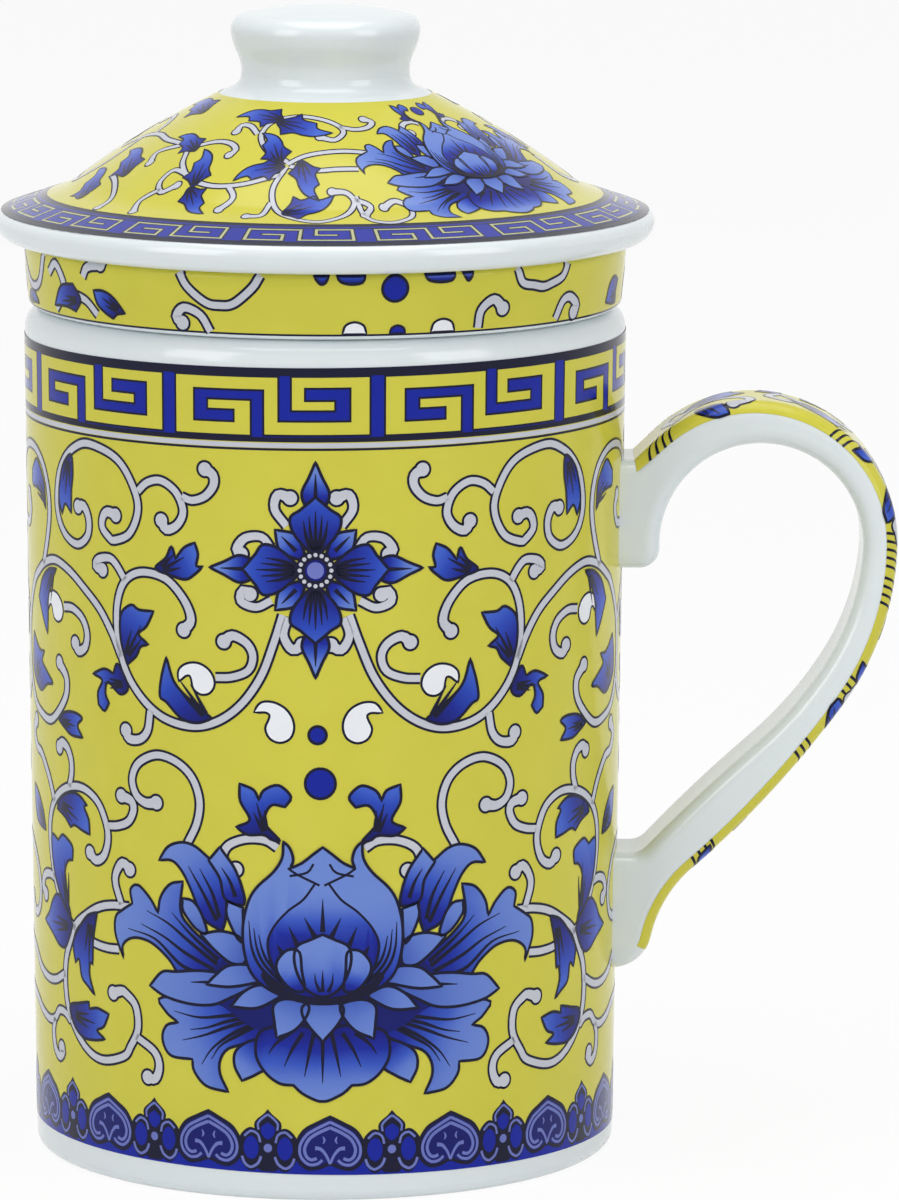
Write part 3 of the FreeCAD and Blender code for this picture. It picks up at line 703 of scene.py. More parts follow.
def lower_scrolls(brush):
    """The tendrils and leaves beside the lotus."""
    brush.vine(
        [(17.6, 44.6), (16.1, 47.4), (15.6, 50.3), (16.5, 53.1), (18.6, 54.9), (21.5, 55.5), (24.4, 54.2),
         (25.6, 52.1), (25.1, 50.1), (23.6, 49.2), (21.9, 49.4)])
    brush.vine([(27.6, 49.6), (26, 49.2), (25.6, 48.1), (26.5, 46.5), (28.3, 45.7), (30.2, 45.4)], "start")
    brush.vine(
        [(34.1, 41.4), (32.9, 40.6), (31.3, 41.4), (30.4, 43.5), (30.6, 45.6), (32, 48.1), (34.5, 49.4),
         (37.4, 49.4), (40.6, 48.3), (43.1, 46.4), (44.5, 43.9), (44.7, 41), (43.8, 37.4), (42, 34.2),
         (39.5, 31.7), (38.1, 31)],
        "start")
    brush.vine(
        [(27, 35.5), (29.9, 35.3), (32.7, 34.6), (35.6, 33.1), (38.1, 31.4), (39.5, 29.2), (40.9, 26.4),
         (41.3, 23.1), (40.6, 19.9), (38.4, 17.1), (35.6, 15.3), (32.7, 14.9), (29.1, 16), (27.9, 17.4),
         (26.5, 19.9), (26.7, 22.8), (28.3, 24.2), (29.1, 24.4), (30.6, 23.9)])
    brush.vine([(29.2, 29.75), (31.6, 29.6), (34.3, 29.9), (37, 31)], "none")
    brush.vine([(28.4, 35.6), (29.3, 38.1), (29.1, 39.6), (27.9, 41), (26.7, 40.3)])
    brush.vine([(38.4, 49.2), (37.7, 51), (37.7, 52.8), (38.6, 54.2), (39.9, 54.6), (40.75, 53.9)])
    brush.vine([(26.8, 18.9), (24, 17.4), (23.3, 15.6), (24, 13.9), (25.2, 13.9)])
    brush.vine([(41.2, 24.6), (44.1, 23.3), (47, 23), (50.2, 23.7), (54, 25.6), (60.3, 26.8)], "none")
    brush.vine(
        [(40.2, 18.6), (41.6, 19.4), (43.4, 19.4), (44.9, 18.1), (47, 17.6), (49.9, 18.1), (54, 19.4),
         (60.4, 20)],
        "none")
    brush.vine([(44.9, 18.1), (45.6, 16.4), (45.2, 14.2), (43.8, 13.3), (42.7, 14.2), (43.1, 14.6)])
    brush.vine([(43.6, 36.6), (45.4, 36.8), (47.4, 36.2), (48.2, 34.8), (47.2, 33.8)])
    brush.vine([(42.8, 46.6), (44.6, 49.6), (47.2, 52), (49.6, 52.6), (51, 54.4), (49.6, 56)])
    brush.vine([(60, 40), (55, 39.6), (51.4, 37.6), (49.6, 34.4), (50.6, 31.4), (53.4, 30.4), (55.4, 32)])

    brush.sprig_leaf(
        [(34, 43.7, TIP), (34.1, 45.6), (35, 47.1), (34.3, 47.4, TIP), (36.3, 48.5), (38.8, 48.3),
         (41.3, 47.1), (42, 45.8, TIP), (39.9, 45.1), (38.4, 44, TIP), (37.4, 44.4), (35.6, 44)],
        (40.8, 46.6), (34.8, 44.6))
    brush.sprig_leaf(
        [(38.25, 39.75, TIP), (38.1, 41.4), (39.3, 42.25), (40.75, 42.6), (42, 41.7, TIP), (44, 42.1),
         (44.1, 39.6), (43.1, 36.4), (40.9, 33.5), (39.1, 32.25, TIP), (40.2, 35.3), (40.4, 37.8),
         (39.5, 39.4)],
        (40, 33.4), (40.6, 42))
    brush.sprig_leaf(
        [(38.8, 31.4, TIP), (40.6, 33.5), (42.7, 34.6), (44.5, 33.5), (45.9, 31.7), (47.7, 30.4, TIP),
         (44.9, 29.2), (42.7, 28), (40.9, 28.1), (39.5, 29.9)],
        (39.6, 30.9), (47, 30.6))
    brush.sprig_leaf(
        [(33.1, 33.9, TIP), (35.2, 33.1), (37.4, 31), (38.8, 28.9), (38.4, 26.5, TIP), (37.5, 27.1),
         (37, 24.9), (35.6, 23.9), (34.3, 23, TIP), (35.2, 25.3), (35, 27.1), (34.5, 26.9, TIP),
         (34.1, 30.3)],
        (34.6, 32.6), (35.6, 24.4))
    brush.sprig_leaf(
        [(31.6, 21, TIP), (33.8, 21.4), (35.6, 21, TIP), (35.6, 21.9, TIP), (37.7, 21.4), (40.2, 20.6),
         (39.5, 18.5), (37.4, 17.1), (34.9, 17.1), (32.5, 17.6, TIP), (34.1, 18.5), (32.7, 19.2)],
        (39.2, 19.6), (32.6, 19.2))
    brush.sprig_leaf(
        [(46.4, 42.2, TIP), (47.4, 44.6), (49.6, 46.6), (52, 47.4, TIP), (51.6, 44.6), (50.4, 42.8, TIP),
         (48.6, 42.4)],
        (47, 42.6), (51.6, 46.8), 0.6)


def rosette(pair, turned, heart):
    """The four-petalled flower over the lotus: turned draws a petal at each quarter round its heart."""
    for spots in (
        [(2.6, 85.3), (4.0, 87.4), (3.5, 89.2), (2.0, 88.8)],
        [(4.7, 82.6), (5.8, 83.9), (7.9, 83.7), (9.0, 82.3), (8.5, 81.7)],
        [(4.9, 76), (6.9, 75.1), (8.8, 75.8), (8.5, 77.1), (7.6, 76.7)],
        [(2.9, 73.9), (3.6, 71.7), (2.6, 69.9), (1.3, 70.5)],
    ):
        pair.vine(spots)
    turned.leaf(
        both_sides([(0, 13.5, TIP), (0.8, 11.6), (1.7, 9.6), (1.2, 8.0), (0, 7.4)], 0), (0, 8), (0, 12.6),
        [[(0, 8.6), (0, 10), (0, 12)]], "petal", PETAL_BACK)
    slant = math.sqrt(0.5)
    diagonal = [(x * slant + y * slant, y * slant - x * slant, *tip)
                for x, y, *tip in both_sides([(0, 7.1, TIP), (1.3, 5.2), (1.1, 3.6), (0, 2.0)], 0)]
    turned.leaf(diagonal, (1.4, 1.4), (5, 5), [[(2.4, 2.4), (3.2, 3.2), (4.2, 4.2)]], "petal", PETAL_MIDDLE)
    turned.leaf(
        both_sides([(0, 9.1, TIP), (1.1, 8.2), (1.9, 7.5, TIP), (3.1, 6.6), (2.9, 5.0), (1.7, 3.3), (0, 2.0)],
                   0),
        (0, 2), (0, 10),
        [[(0, 2.4), (0, 4.6), (0, 7.4)], [(0.6, 2.6), (1.2, 4.4), (1.5, 6.2)],
         [(-0.6, 2.6), (-1.2, 4.4), (-1.5, 6.2)], [(0.3, 2.5), (0.6, 4.4), (0.8, 6.8)],
         [(-0.3, 2.5), (-0.6, 4.4), (-0.8, 6.8)]],
        "leaf", PETAL_FRONT)
    heart_edge, heart_radius, heart_fill, beads, bead_ring, bead_radius = 2.5, 1.3, 1.05, 16, 1.95, 0.26
    heart.dot((0, 0), heart_edge, "navy", BUD)
    for bead in range(beads):
        turn = FULL_TURN * bead / beads
        heart.dot((bead_ring * math.cos(turn), bead_ring * math.sin(turn)), bead_radius, "vine", BUD + 1)
    heart.dot((0, 0), heart_radius, "petal", BUD + 1)
    heart.dot((0, 0), heart_fill, "line", BUD + 2)


def ruyi_head(brush):
    """A cloud head of the foot border, with its grey lines."""
    head = [(0, 10.9, TIP), (1.6, 10.1), (3.3, 9.1), (4.3, 7.3), (4.1, 5.4), (2.9, 4.3), (1.4, 4.4), (0, 4.9)]
    brush.patch(both_sides(head, 0), "deep", BAND_FILL)
    brush.rim(both_sides(head, 0), 0.45, "navy", VINE_EDGE)
    line = [(0, 10.25), (1.6, 9.45), (3.0, 8.55), (3.85, 7.1), (3.7, 5.7), (2.7, 4.8), (1.6, 4.9), (1.0, 5.4)]
    brush.stroke(line, 0.36, "line", VINE_EDGE)
    brush.stroke(
        [(0, 9.55), (1.6, 8.8), (2.7, 8.0), (3.25, 6.8), (3.0, 5.8), (2.4, 5.4), (1.7, 5.6)], 0.4, "line",
        VINE_EDGE)
    brush.stroke([(1.9, 6.9), (1.2, 6.8), (0.5, 6.0), (0, 4.9)], [0.5, 0.35, 0.3], "line", VINE_EDGE)
    brush.stroke([(0.9, 8.4), (0.7, 7.9), (0.9, 7.5)], [0.1, 0.3, 0.1], "line", VINE_EDGE)


def ruyi_trefoil(brush):
    """The three-lobed bud between two cloud heads."""
    brush.patch(
        both_sides([(0, 11.7, TIP), (0.5, 11.1), (1.7, 10.0), (1.6, 8.8), (0.6, 7.4), (0, 7.1)], 0), "navy",
        BAND_FILL)
    brush.patch(
        [(0.4, 6.6), (0.8, 8.3), (2.2, 9.3), (3.5, 8.4), (4.0, 6.8), (3.6, 5.0), (2.4, 3.7), (1.2, 4.2),
         (0.5, 5.4)],
        "navy", BAND_FILL)
    brush.patch(both_sides([(0, 7.6), (1.2, 7.2), (1.6, 5.4), (1.2, 3.9), (0, 3.7)], 0), "navy", BAND_EDGE)
    brush.stroke([(0, 11.0), (0.7, 10.5), (1.3, 9.8), (1.2, 9.0)], 0.28, "line", VINE_EDGE)
    brush.patch(both_sides([(0, 10.0, TIP), (0.9, 9.3), (0.7, 8.3), (0, 7.8)], 0), "royal", VINE_EDGE)
    brush.stroke([(1.0, 7.4), (1.3, 8.4), (2.2, 8.8), (3.1, 8.1)], 0.3, "line", VINE_EDGE)
    brush.stroke([(0.9, 5.6), (1.3, 4.7), (2.3, 4.15), (3.1, 4.7), (3.4, 5.5)], 0.34, "line", VINE_EDGE)
    brush.patch(
        [(1.2, 6.6), (1.5, 7.7), (2.2, 8.2), (2.9, 7.7), (3.2, 6.6), (2.8, 5.5), (2.1, 5.2), (1.5, 5.6)],
        "royal", VINE_EDGE)
    brush.dot((0, 6.7), 0.55, "line", VINE_FILL)


# Mug wall

def on_wall(across, up):
    """Places and outward directions on the mug's tapered wall."""
    turn = across / SHEET_RADIUS
    share = (up - WALL_LOW_UP) / (WALL_TOP_UP - WALL_LOW_UP)
    radius = WALL_LOW_RADIUS + share * (WALL_TOP_RADIUS - WALL_LOW_RADIUS)
    out = np.column_stack([np.sin(turn), -np.cos(turn), np.zeros(len(turn))])
    return np.column_stack([radius * out[:, 0], radius * out[:, 1], up]), out


ASKEW_AT_FOOT, ASKEW_GAIN = -0.0125, 0.0205
LEAN, LEAN_PER_UP, LEAN_FROM_UP = 0.1, 0.022, 45


def wall_settle(across, up):
    """Bands of the printed sheet sit a touch askew round the mug, as the real one's do."""
    slope = ASKEW_AT_FOOT + ASKEW_GAIN * up / WALL_TOP_UP
    return up + slope * SHEET_RADIUS * np.sin(across / SHEET_RADIUS)


def wall_place(side, turn):
    """Where the right half's motifs go: mirrored where side is -1, and moved round by half turns."""
    def place(spots):
        across, up = np.asarray(spots, float).T
        lean = LEAN - LEAN_PER_UP * (up - LEAN_FROM_UP)
        level = up - (wall_settle(across, up) - up)
        across = side * (across - lean) + lean + turn * HALF_ROUND
        return np.column_stack([across, wall_settle(across, level)])
    return place


def wall_spot(centre_across, centre_up, quarter=0, turn=0):
    """Motifs drawn about their own centre, turned by quarter turns."""
    c, s = round(math.cos(quarter * math.pi / 2)), round(math.sin(quarter * math.pi / 2))

    def place(spots):
        x, y = np.asarray(spots, float).T
        across = centre_across + x * c + y * s + turn * HALF_ROUND
        return np.column_stack([across, wall_settle(across, centre_up + y * c - x * s)])
    return place


def mirrored(place):
    """The mirror of a place, side to side."""
    return lambda spots: place(np.asarray(spots, float) * (-1, 1))


creases = np.arange(-CREASES_ROUND, CREASES_ROUND + 1) * ROUND_WALL / CREASES_ROUND
wall = Enamel(Ground(on_wall, creases, [0.0, WALL_TOP_UP]))
HALVES = (0, 1)
wall_pair = Brush(wall, [wall_place(side, turn) for side in (1, -1) for turn in HALVES])
wall_middle = Brush(wall, [wall_place(1, turn) for turn in HALVES])

for low, high, paint, layer in (
    (3.5, 103.9, "yellow", GROUND), (95.7, 104.9, "royal", BAND), (103.9, 104.9, "navy", BAND_EDGE),
    (95.7, 96.3, "navy", BAND_EDGE), (95.0, 95.6, "vine", BAND_EDGE), (94.65, 94.95, "navy", BAND_EDGE),
    (3.5, 5.6, "royal", BAND),
):
    band(wall, low, high, paint, layer, wall_settle)
FRET_REPEATS = 9
FRET_EDGE = 0.28
for number in range(FRET_REPEATS):
    shift = number * ROUND_WALL / FRET_REPEATS

    def fret_place(spots, shift=shift):
        return np.column_stack([spots[:, 0] + shift, wall_settle(spots[:, 0] + shift, spots[:, 1])])

    fret_strip(wall, fret_place, FRET_STRIP, FRET_RUNS, FRET_EDGE, "navy", BAND_EDGE)
    fret_strip(wall, fret_place, FRET_STRIP, FRET_RUNS, 0.0, "yellow", BAND_FILL)

RUYI_REPEATS = 15
RUYI_STEP = ROUND_WALL / RUYI_REPEATS
HEAD_FIRST, TREFOIL_FIRST = 1.25, 9.2
for first, motif in ((HEAD_FIRST, ruyi_head), (TREFOIL_FIRST, ruyi_trefoil)):
    spots = [wall_spot(first + number * RUYI_STEP, 0.0) for number in range(RUYI_REPEATS)]
    motif(Brush(wall, spots + [mirrored(spot) for spot in spots]))

lotus(wall_pair, wall_middle)
finial(wall_pair)
wall_scrolls(wall_pair)
lower_scrolls(wall_pair)
ROSETTE = (-0.6, 79.8)
rosette(
    wall_pair,
    Brush(wall, [wall_spot(*ROSETTE, quarter, turn) for quarter in range(4) for turn in HALVES]),
    Brush(wall, [wall_spot(*ROSETTE, 0, turn) for turn in HALVES]),
)
SMALL_DOT, LARGE_DOT = 1.1, 1.9
for spot, radius in (
    ((-0.35, 59.2), SMALL_DOT), ((0, 53.1), LARGE_DOT), ((59.8, 55.0), SMALL_DOT), ((59.8, 49.6), LARGE_DOT),
    ((59.6, 83.6), SMALL_DOT),
):
    wall_middle.ringed_dot(spot, radius, "royal")
wall.made("mug_enamel", "mug")


# Infuser's collar

def on_collar(across, up):
    """Places and outward directions on the collar, with its rounded lower and upper corners."""
    turn = across / SHEET_RADIUS
    share = (up - COLLAR_LOW_UP) / (COLLAR_TOP_UP - COLLAR_LOW_UP)
    below, above = np.clip(COLLAR_LOW_UP - up, 0, None), np.clip(up - COLLAR_TOP_UP, 0, None)
    radius = COLLAR_LOW_RADIUS + np.clip(share, 0, 1) * (COLLAR_TOP_RADIUS - COLLAR_LOW_RADIUS)
    radius -= COLLAR_LOW_ROUND - np.sqrt(COLLAR_LOW_ROUND**2 - below**2)
    radius -= COLLAR_TOP_ROUND - np.sqrt(COLLAR_TOP_ROUND**2 - above**2)
    rise = above / COLLAR_TOP_ROUND - below / COLLAR_LOW_ROUND
    flat = np.sqrt(1 - rise**2)
    out = np.column_stack([np.sin(turn) * flat, -np.cos(turn) * flat, rise])
    return np.column_stack([radius * np.sin(turn), -radius * np.cos(turn), up]), out


COLLAR_CREASES = [108.6, 108.8, 109.1, COLLAR_LOW_UP, COLLAR_TOP_UP, 116.0, 116.25, 116.4]
PAINT_LOW_UP, PAINT_TOP_UP, PAINT_LINE_UP = 108.75, 116.35, 109.0
MOTIF_LOW_UP, MOTIF_TOP_UP = 108.8, 116.3
collar = Enamel(Ground(on_collar, creases, COLLAR_CREASES))
band(collar, PAINT_LOW_UP, PAINT_TOP_UP, "yellow", GROUND)
band(collar, PAINT_LOW_UP, PAINT_LINE_UP, "navy", BAND_EDGE)


def collar_place(turn):
    """Where the collar's motifs go: moved round by half turns, and kept between its corners."""
    def place(spots):
        across, up = np.asarray(spots, float).T
        return np.column_stack([across + turn * HALF_ROUND, np.clip(up, MOTIF_LOW_UP, MOTIF_TOP_UP)])
    return place


round_collar = Brush(collar, [collar_place(turn) for turn in HALVES])
for centre, foot, half in ((-12.7, 112.3, 5.3), (30.6, 113.6, 4.5)):
    round_collar.vine(
        [(centre - half, 116.2), (centre - half * 0.8, 114.4), (centre - half * 0.35, foot + 0.3),
         (centre, foot), (centre + half * 0.35, foot + 0.3), (centre + half * 0.8, 114.6),
         (centre + half, 116.2)],
        "none")
for spots in (
    [(-14, 109), (-15.3, 111), (-17.5, 111.8), (-18.6, 110.6), (-17.8, 109.9)],
    [(33.2, 109.3), (34.5, 111.4), (36, 111.8), (37.6, 110.6), (37, 109.8)],
    [(-34, 114.3), (-33, 115.6), (-30.5, 116.2)],
    [(-42.5, 114), (-40.5, 115.3), (-38.8, 113.5), (-38.5, 111.7)],
    [(20.4, 109.2), (20.8, 111.4), (22.6, 112.6), (24, 111.4)],
    [(56, 109.4), (57.6, 112), (60.4, 112.6), (62, 110.8)],
):
    round_collar.vine(spots)
round_collar.vine([(-41, 109.6), (-38, 111.8), (-34, 111.5), (-31.5, 109.8)], "none")
round_collar.vine([(64, 116.2), (66, 113.4), (69.4, 111.6), (73, 112.4), (75.4, 116.2)], "none")
round_collar.ringed_dot((9.2, 114.6), 1.6, "royal")
for centre, radius, paint in ((4.2, 1.5, "white"), (9.6, 1.0, "royal"), (15.5, 1.6, "white")):
    half_disc = [(centre - radius, 109.0, TIP), (centre - radius * 0.75, 108.95 + radius * 0.75),
                 (centre, 109.0 + radius), (centre + radius * 0.75, 108.95 + radius * 0.75),
                 (centre + radius, 109.0, TIP)]
    round_collar.patch(half_disc, paint, VINE_FILL)
    round_collar.rim(half_disc, 0.3, "navy", LEAF_EDGE)
for low, high in ((-0.8, 1.0), (2.0, 5.5), (13.0, 17.0), (18.0, 19.5)):
    middle = (low + high) / 2
    tuft = [(low, 116.2, TIP), (low + 0.5, 115.5), (middle, 115.2), (high - 0.4, 115.4), (high, 116.2, TIP)]
    round_collar.leaf(tuft, (middle, 115.2), (middle, 116.4))
for spots, base, tip in (
    ([(-32, 112.8, TIP), (-30.2, 112.9), (-28.4, 112.2), (-26.5, 110.4, TIP), (-27.8, 110.2),
      (-28.6, 109.6, TIP), (-30, 110.2), (-31.4, 111.2)],
     (-27.4, 110.6), (-31.6, 112.6)),
    ([(46, 110, TIP), (47.2, 112.2), (49, 113), (51, 112.4, TIP), (50.2, 111), (50.4, 109.6, TIP),
      (48.4, 109.6)],
     (50, 110.4), (46.4, 110.6)),
    ([(78, 110, TIP), (80, 112.6), (83, 113.2, TIP), (84.6, 111.4), (83.4, 109.8, TIP), (81, 110.2)],
     (84, 111.2), (78.6, 110.6)),
    ([(66, 109.4, TIP), (67.4, 110.6), (70, 110.9), (72.2, 109.6, TIP)], (66.6, 109.6), (71.4, 110)),
):
    round_collar.sprig_leaf(spots, base, tip, 0.6)
collar.made("collar_enamel", "infuser")


# Lid

dome_chord = math.hypot(DOME_LOW - DOME_TOP, DOME_TOP_UP - DOME_LOW_UP)
dome_drop = math.sqrt(DOME_ROUND**2 - (dome_chord / 2) ** 2)
DOME_HEART = (
    (DOME_LOW + DOME_TOP) / 2 - dome_drop * (DOME_TOP_UP - DOME_LOW_UP) / dome_chord,
    (DOME_LOW_UP + DOME_TOP_UP) / 2 - dome_drop * (DOME_LOW - DOME_TOP) / dome_chord,
)
brim_slope = (BRIM_IN_UP - BRIM_OUT_UP) / (BRIM_OUT - BRIM_IN)


def on_lid(degrees, radius):
    """Places and outward directions on the lid, from the dome through its cove to the brim."""
    turn = np.radians(degrees)
    dome_up = DOME_HEART[1] + np.sqrt(DOME_ROUND**2 - (radius - DOME_HEART[0]) ** 2)
    dome_slope = (radius - DOME_HEART[0]) / (dome_up - DOME_HEART[1])
    brim_up = BRIM_OUT_UP + (BRIM_OUT - radius) * brim_slope
    span = BRIM_IN - DOME_LOW
    t = np.clip((radius - DOME_LOW) / span, 0, 1)
    low_slope = (DOME_LOW - DOME_HEART[0]) / math.sqrt(DOME_ROUND**2 - (DOME_LOW - DOME_HEART[0]) ** 2)
    cove_up = (
        DOME_LOW_UP * (1 - 3 * t**2 + 2 * t**3)
        - low_slope * span * (t - 2 * t**2 + t**3)
        + BRIM_IN_UP * (3 * t**2 - 2 * t**3)
        - brim_slope * span * (t**3 - t**2)
    )
    up = np.where(radius < DOME_LOW, dome_up, np.where(radius > BRIM_IN, brim_up, cove_up))
    slope = np.where(radius < DOME_LOW, dome_slope, low_slope + (brim_slope - low_slope) * t)
    flat = 1 / np.hypot(1, slope)
    out = np.column_stack([np.sin(turn) * slope * flat, -np.cos(turn) * slope * flat, flat])
    return np.column_stack([radius * np.sin(turn), -radius * np.cos(turn), LID_UP + up]), out


def lid_sheet(flat):
    """Degrees round the lid and radius, for spots seen from above."""
    degrees = np.degrees(np.arctan2(flat[:, 0], -flat[:, 1]))
    degrees -= 360 * np.round((degrees - degrees[0]) / 360)
    return np.column_stack([degrees, np.hypot(flat[:, 0], flat[:, 1])])


def lid_flat(sheet):
    """Spots seen from above, for degrees round the lid and radius."""
    turn = np.radians(sheet[:, 0])
    return np.column_stack([sheet[:, 1] * np.sin(turn), -sheet[:, 1] * np.cos(turn)])


DOME_CREASE, COVE_CREASES, TURN_CREASE = 1.5, 7, 2.0
PAST_BRIM = 41.5
dome_creases = np.arange(DOME_TOP, DOME_LOW, DOME_CREASE)
lid_creases = sorted({*dome_creases, *np.linspace(DOME_LOW, BRIM_IN, COVE_CREASES), BRIM_OUT, PAST_BRIM})
lid = Enamel(Ground(on_lid, np.arange(-360, 361, TURN_CREASE), lid_creases, lid_sheet, lid_flat))


def lid_place(turn):
    """Where a motif given as degrees round and radius goes, moved round by turn degrees."""
    return lambda spots: lid_flat(np.asarray(spots, float) + (turn, 0))


LID_SCALE = 0.62
LID_TURNS = (0, 180)
round_lid = Brush(lid, [lid_place(turn) for turn in LID_TURNS], LID_SCALE)
for low, high, paint, layer in (
    (13.45, 35.4, "yellow", GROUND), (35.2, 36.0, "navy", BAND), (36.0, 40.1, "royal", BAND),
    (40.1, 41.0, "navy", BAND), (35.25, 35.45, "navy", BAND_EDGE), (36.35, 36.55, "navy", BAND_EDGE),
    (40.0, 40.2, "navy", BAND_EDGE),
):
    band(lid, low, high, paint, layer)

LID_FRETS, LID_FRET_EDGE = 15, 0.35
LID_FRET_RUNS = [0.55, 0.6, 0.55, 0.6, 0.55, 0.6, 0.55, 0.6, 0.55, 0.6, 0.55]
FRET_LEFT, FRET_LOW, FRET_WIDE, FRET_TALL = -18.9, 97.0, 25.0, 6.2
LID_FRET_LEFT, LID_FRET_RADIUS, LID_FRET_WIDE, LID_FRET_TALL = -15.0, 39.75, 22.0, 3.05
for number in range(LID_FRETS):
    def lid_fret_place(spots, turn=number * 360 / LID_FRETS):
        across = LID_FRET_LEFT + turn + (spots[:, 0] - FRET_LEFT) * LID_FRET_WIDE / FRET_WIDE
        radius = LID_FRET_RADIUS - (spots[:, 1] - FRET_LOW) * LID_FRET_TALL / FRET_TALL
        return np.column_stack([across, radius])

    fret_strip(lid, lid_fret_place, FRET_STRIP, LID_FRET_RUNS, LID_FRET_EDGE, "navy", BAND_EDGE)
    fret_strip(lid, lid_fret_place, FRET_STRIP, LID_FRET_RUNS, 0.0, "ivory", BAND_FILL)

LID_LOTUS_TURN, LID_LOTUS_RADIUS, LID_LOTUS_TALL, LID_LOTUS_HALF_TURN = 46.5, 34.6, 16.2, 37


def lid_lotus_place(side, turn):
    """Where the wall's lotus goes on the lid: its foot to the brim, mirrored where side is -1."""
    def place(spots):
        across, up = np.asarray(spots, float).T
        degrees = LID_LOTUS_TURN + turn + side * (across - LOTUS_AXIS) * LID_LOTUS_HALF_TURN / LOTUS_HALF_WIDE
        radius = LID_LOTUS_RADIUS - (up - LOTUS_FOOT) * LID_LOTUS_TALL / LOTUS_TALL
        return lid_flat(np.column_stack([degrees, radius]))
    return place


lid_pair = Brush(lid, [lid_lotus_place(side, turn) for side in (1, -1) for turn in LID_TURNS], LID_SCALE)
lid_middle = Brush(lid, [lid_lotus_place(1, turn) for turn in LID_TURNS], LID_SCALE)
lotus(lid_pair, lid_middle)
finial(lid_pair)
round_lid.ringed_dot((LID_LOTUS_TURN, 16.0), 1.3, "royal")

for spots, bulbs in (
    ([(18, 23.6), (12, 23.0), (5, 22.8), (-5, 23.6), (-10, 25.1)], "none"),
    ([(10, 25.8), (4, 25.8), (-2, 26), (-9, 25.4)], "none"),
    ([(-10, 24.7), (-17, 23), (-22, 20.5), (-22, 18.3), (-18, 17), (-10, 16.4), (0, 17), (6, 18.2),
      (7.5, 19.5), (4, 20.8), (-1, 20.3)],
     "end"),
    ([(6, 18.4), (12, 18.9), (17, 18.6), (20, 17.6), (17, 17)], "end"),
    ([(-10, 25.5), (-12, 29), (-10, 32), (-5, 34), (0, 34.6), (5, 33), (7.5, 31), (6, 29.5), (2.5, 29.3)],
     "end"),
    ([(-11, 26.8), (-20, 28.4), (-28, 28.9), (-36, 28), (-42, 26), (-45, 24), (-48, 23), (-60, 22.5),
      (-70, 22), (-80, 23), (-88, 25.6)],
     "none"),
    ([(-45, 23.2), (-37, 21.8), (-31, 22), (-28, 23), (-29, 23.9)], "end"),
    ([(-24, 28.6), (-21, 30.5), (-23, 32.4)], "end"),
    ([(8, 30), (9, 32.6), (11, 34.5), (15, 35), (19, 33.8), (20, 32), (17, 30.8), (14, 31.7)], "end"),
    ([(7.4, 30.4), (11, 31.5), (9.4, 33)], "end"),
    ([(-11.6, 31), (-13, 33.2), (-16, 33.5)], "end"),
    ([(-37, 27.6), (-43, 27), (-44, 29), (-41, 30.4), (-38, 29.2)], "end"),
    ([(-42, 30), (-45, 32), (-43, 34.3)], "end"),
    ([(-66, 29), (-60, 30), (-55, 32), (-54, 34.5)], "end"),
    ([(-24, 20), (-29, 18.6), (-33, 18.6), (-33, 19.8)], "end"),
    ([(-50, 23), (-57, 24.6), (-55, 26.4)], "end"),
    ([(-74, 22.3), (-78, 20), (-86, 19), (-90, 20.4)], "end"),
    ([(-80, 23.4), (-80, 28), (-88, 31.6), (-98, 30), (-98, 27)], "end"),
):
    round_lid.vine(spots, bulbs)


def lid_leaf_place(base, tip, turn):
    """Sets a leaf one long along the lid from base to tip, each given as degrees round and radius."""
    def place(spots):
        root, end = lid_flat(np.array([base, tip], float) + (turn, 0))
        ahead, aside = np.asarray(spots, float).T
        way = end - root
        return root + ahead[:, None] * way + aside[:, None] * np.array([-way[1], way[0]])
    return place


for base, tip in (
    ((-19, 17.6), (0, 20.0)),
    ((-12, 25.0), (-19, 19.9)),
    ((-17, 17.2), (-37, 16.2)),
    ((-10.5, 25.4), (-22.5, 26.9)),
    ((-6.4, 24.4), (-2.6, 30.2)),
    ((-8.4, 32.8), (2.0, 30.9)),
    ((-42, 23.6), (-54, 21.2)),
    ((-33, 29.2), (-36.6, 23.6)),
    ((-34, 29.4), (-27.6, 33.4)),
    ((-59, 28.8), (-71, 24.8)),
    ((-66, 33.4), (-75, 28.6)),
    ((-62, 17.0), (-86, 15.6)),
    ((-93, 25.6), (-99, 20.6)),
):
    leaf_brush = Brush(lid, [lid_leaf_place(base, tip, turn) for turn in LID_TURNS], LID_SCALE)
    leaf_brush.sprig_leaf(LOBED_LEAF, LOBED_BASE, LOBED_TIP, LOBED_SPREAD)
lid.made("lid_enamel", "lid")


# Handle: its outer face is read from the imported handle, so the strip follows the strap exactly.

def handle_outer_edge():
    """The outer outline of the strap in the upright plane, from the top root to the low root."""
    edge = {}
    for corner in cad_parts["mug_handle"].data.vertices:
        x, y, z = (value / MM for value in corner.co)
        facing = corner.normal
        away, over = x - HANDLE_LOOP_HEART[0], z - HANDLE_LOOP_HEART[1]
        outer = away * facing.x + over * facing.z > 0 and math.hypot(away, over) > HANDLE_OUTER_REACH
        if outer and abs(y - FLAT_HALF) < ON_EDGE_NEAR and abs(facing.y) < ON_EDGE_FACING:
            edge[round(x, 2), round(z, 2)] = (-math.atan2(over, away), x, z)
    return np.array(sorted(edge.values()))[:, 1:]


strap = handle_outer_edge()
strap_along = along(strap)
strap_ways = np.gradient(strap, strap_along, axis=0)
strap_outs = np.column_stack([-strap_ways[:, 1], strap_ways[:, 0]])
strap_outs /= np.linalg.norm(strap_outs, axis=1)[:, None]


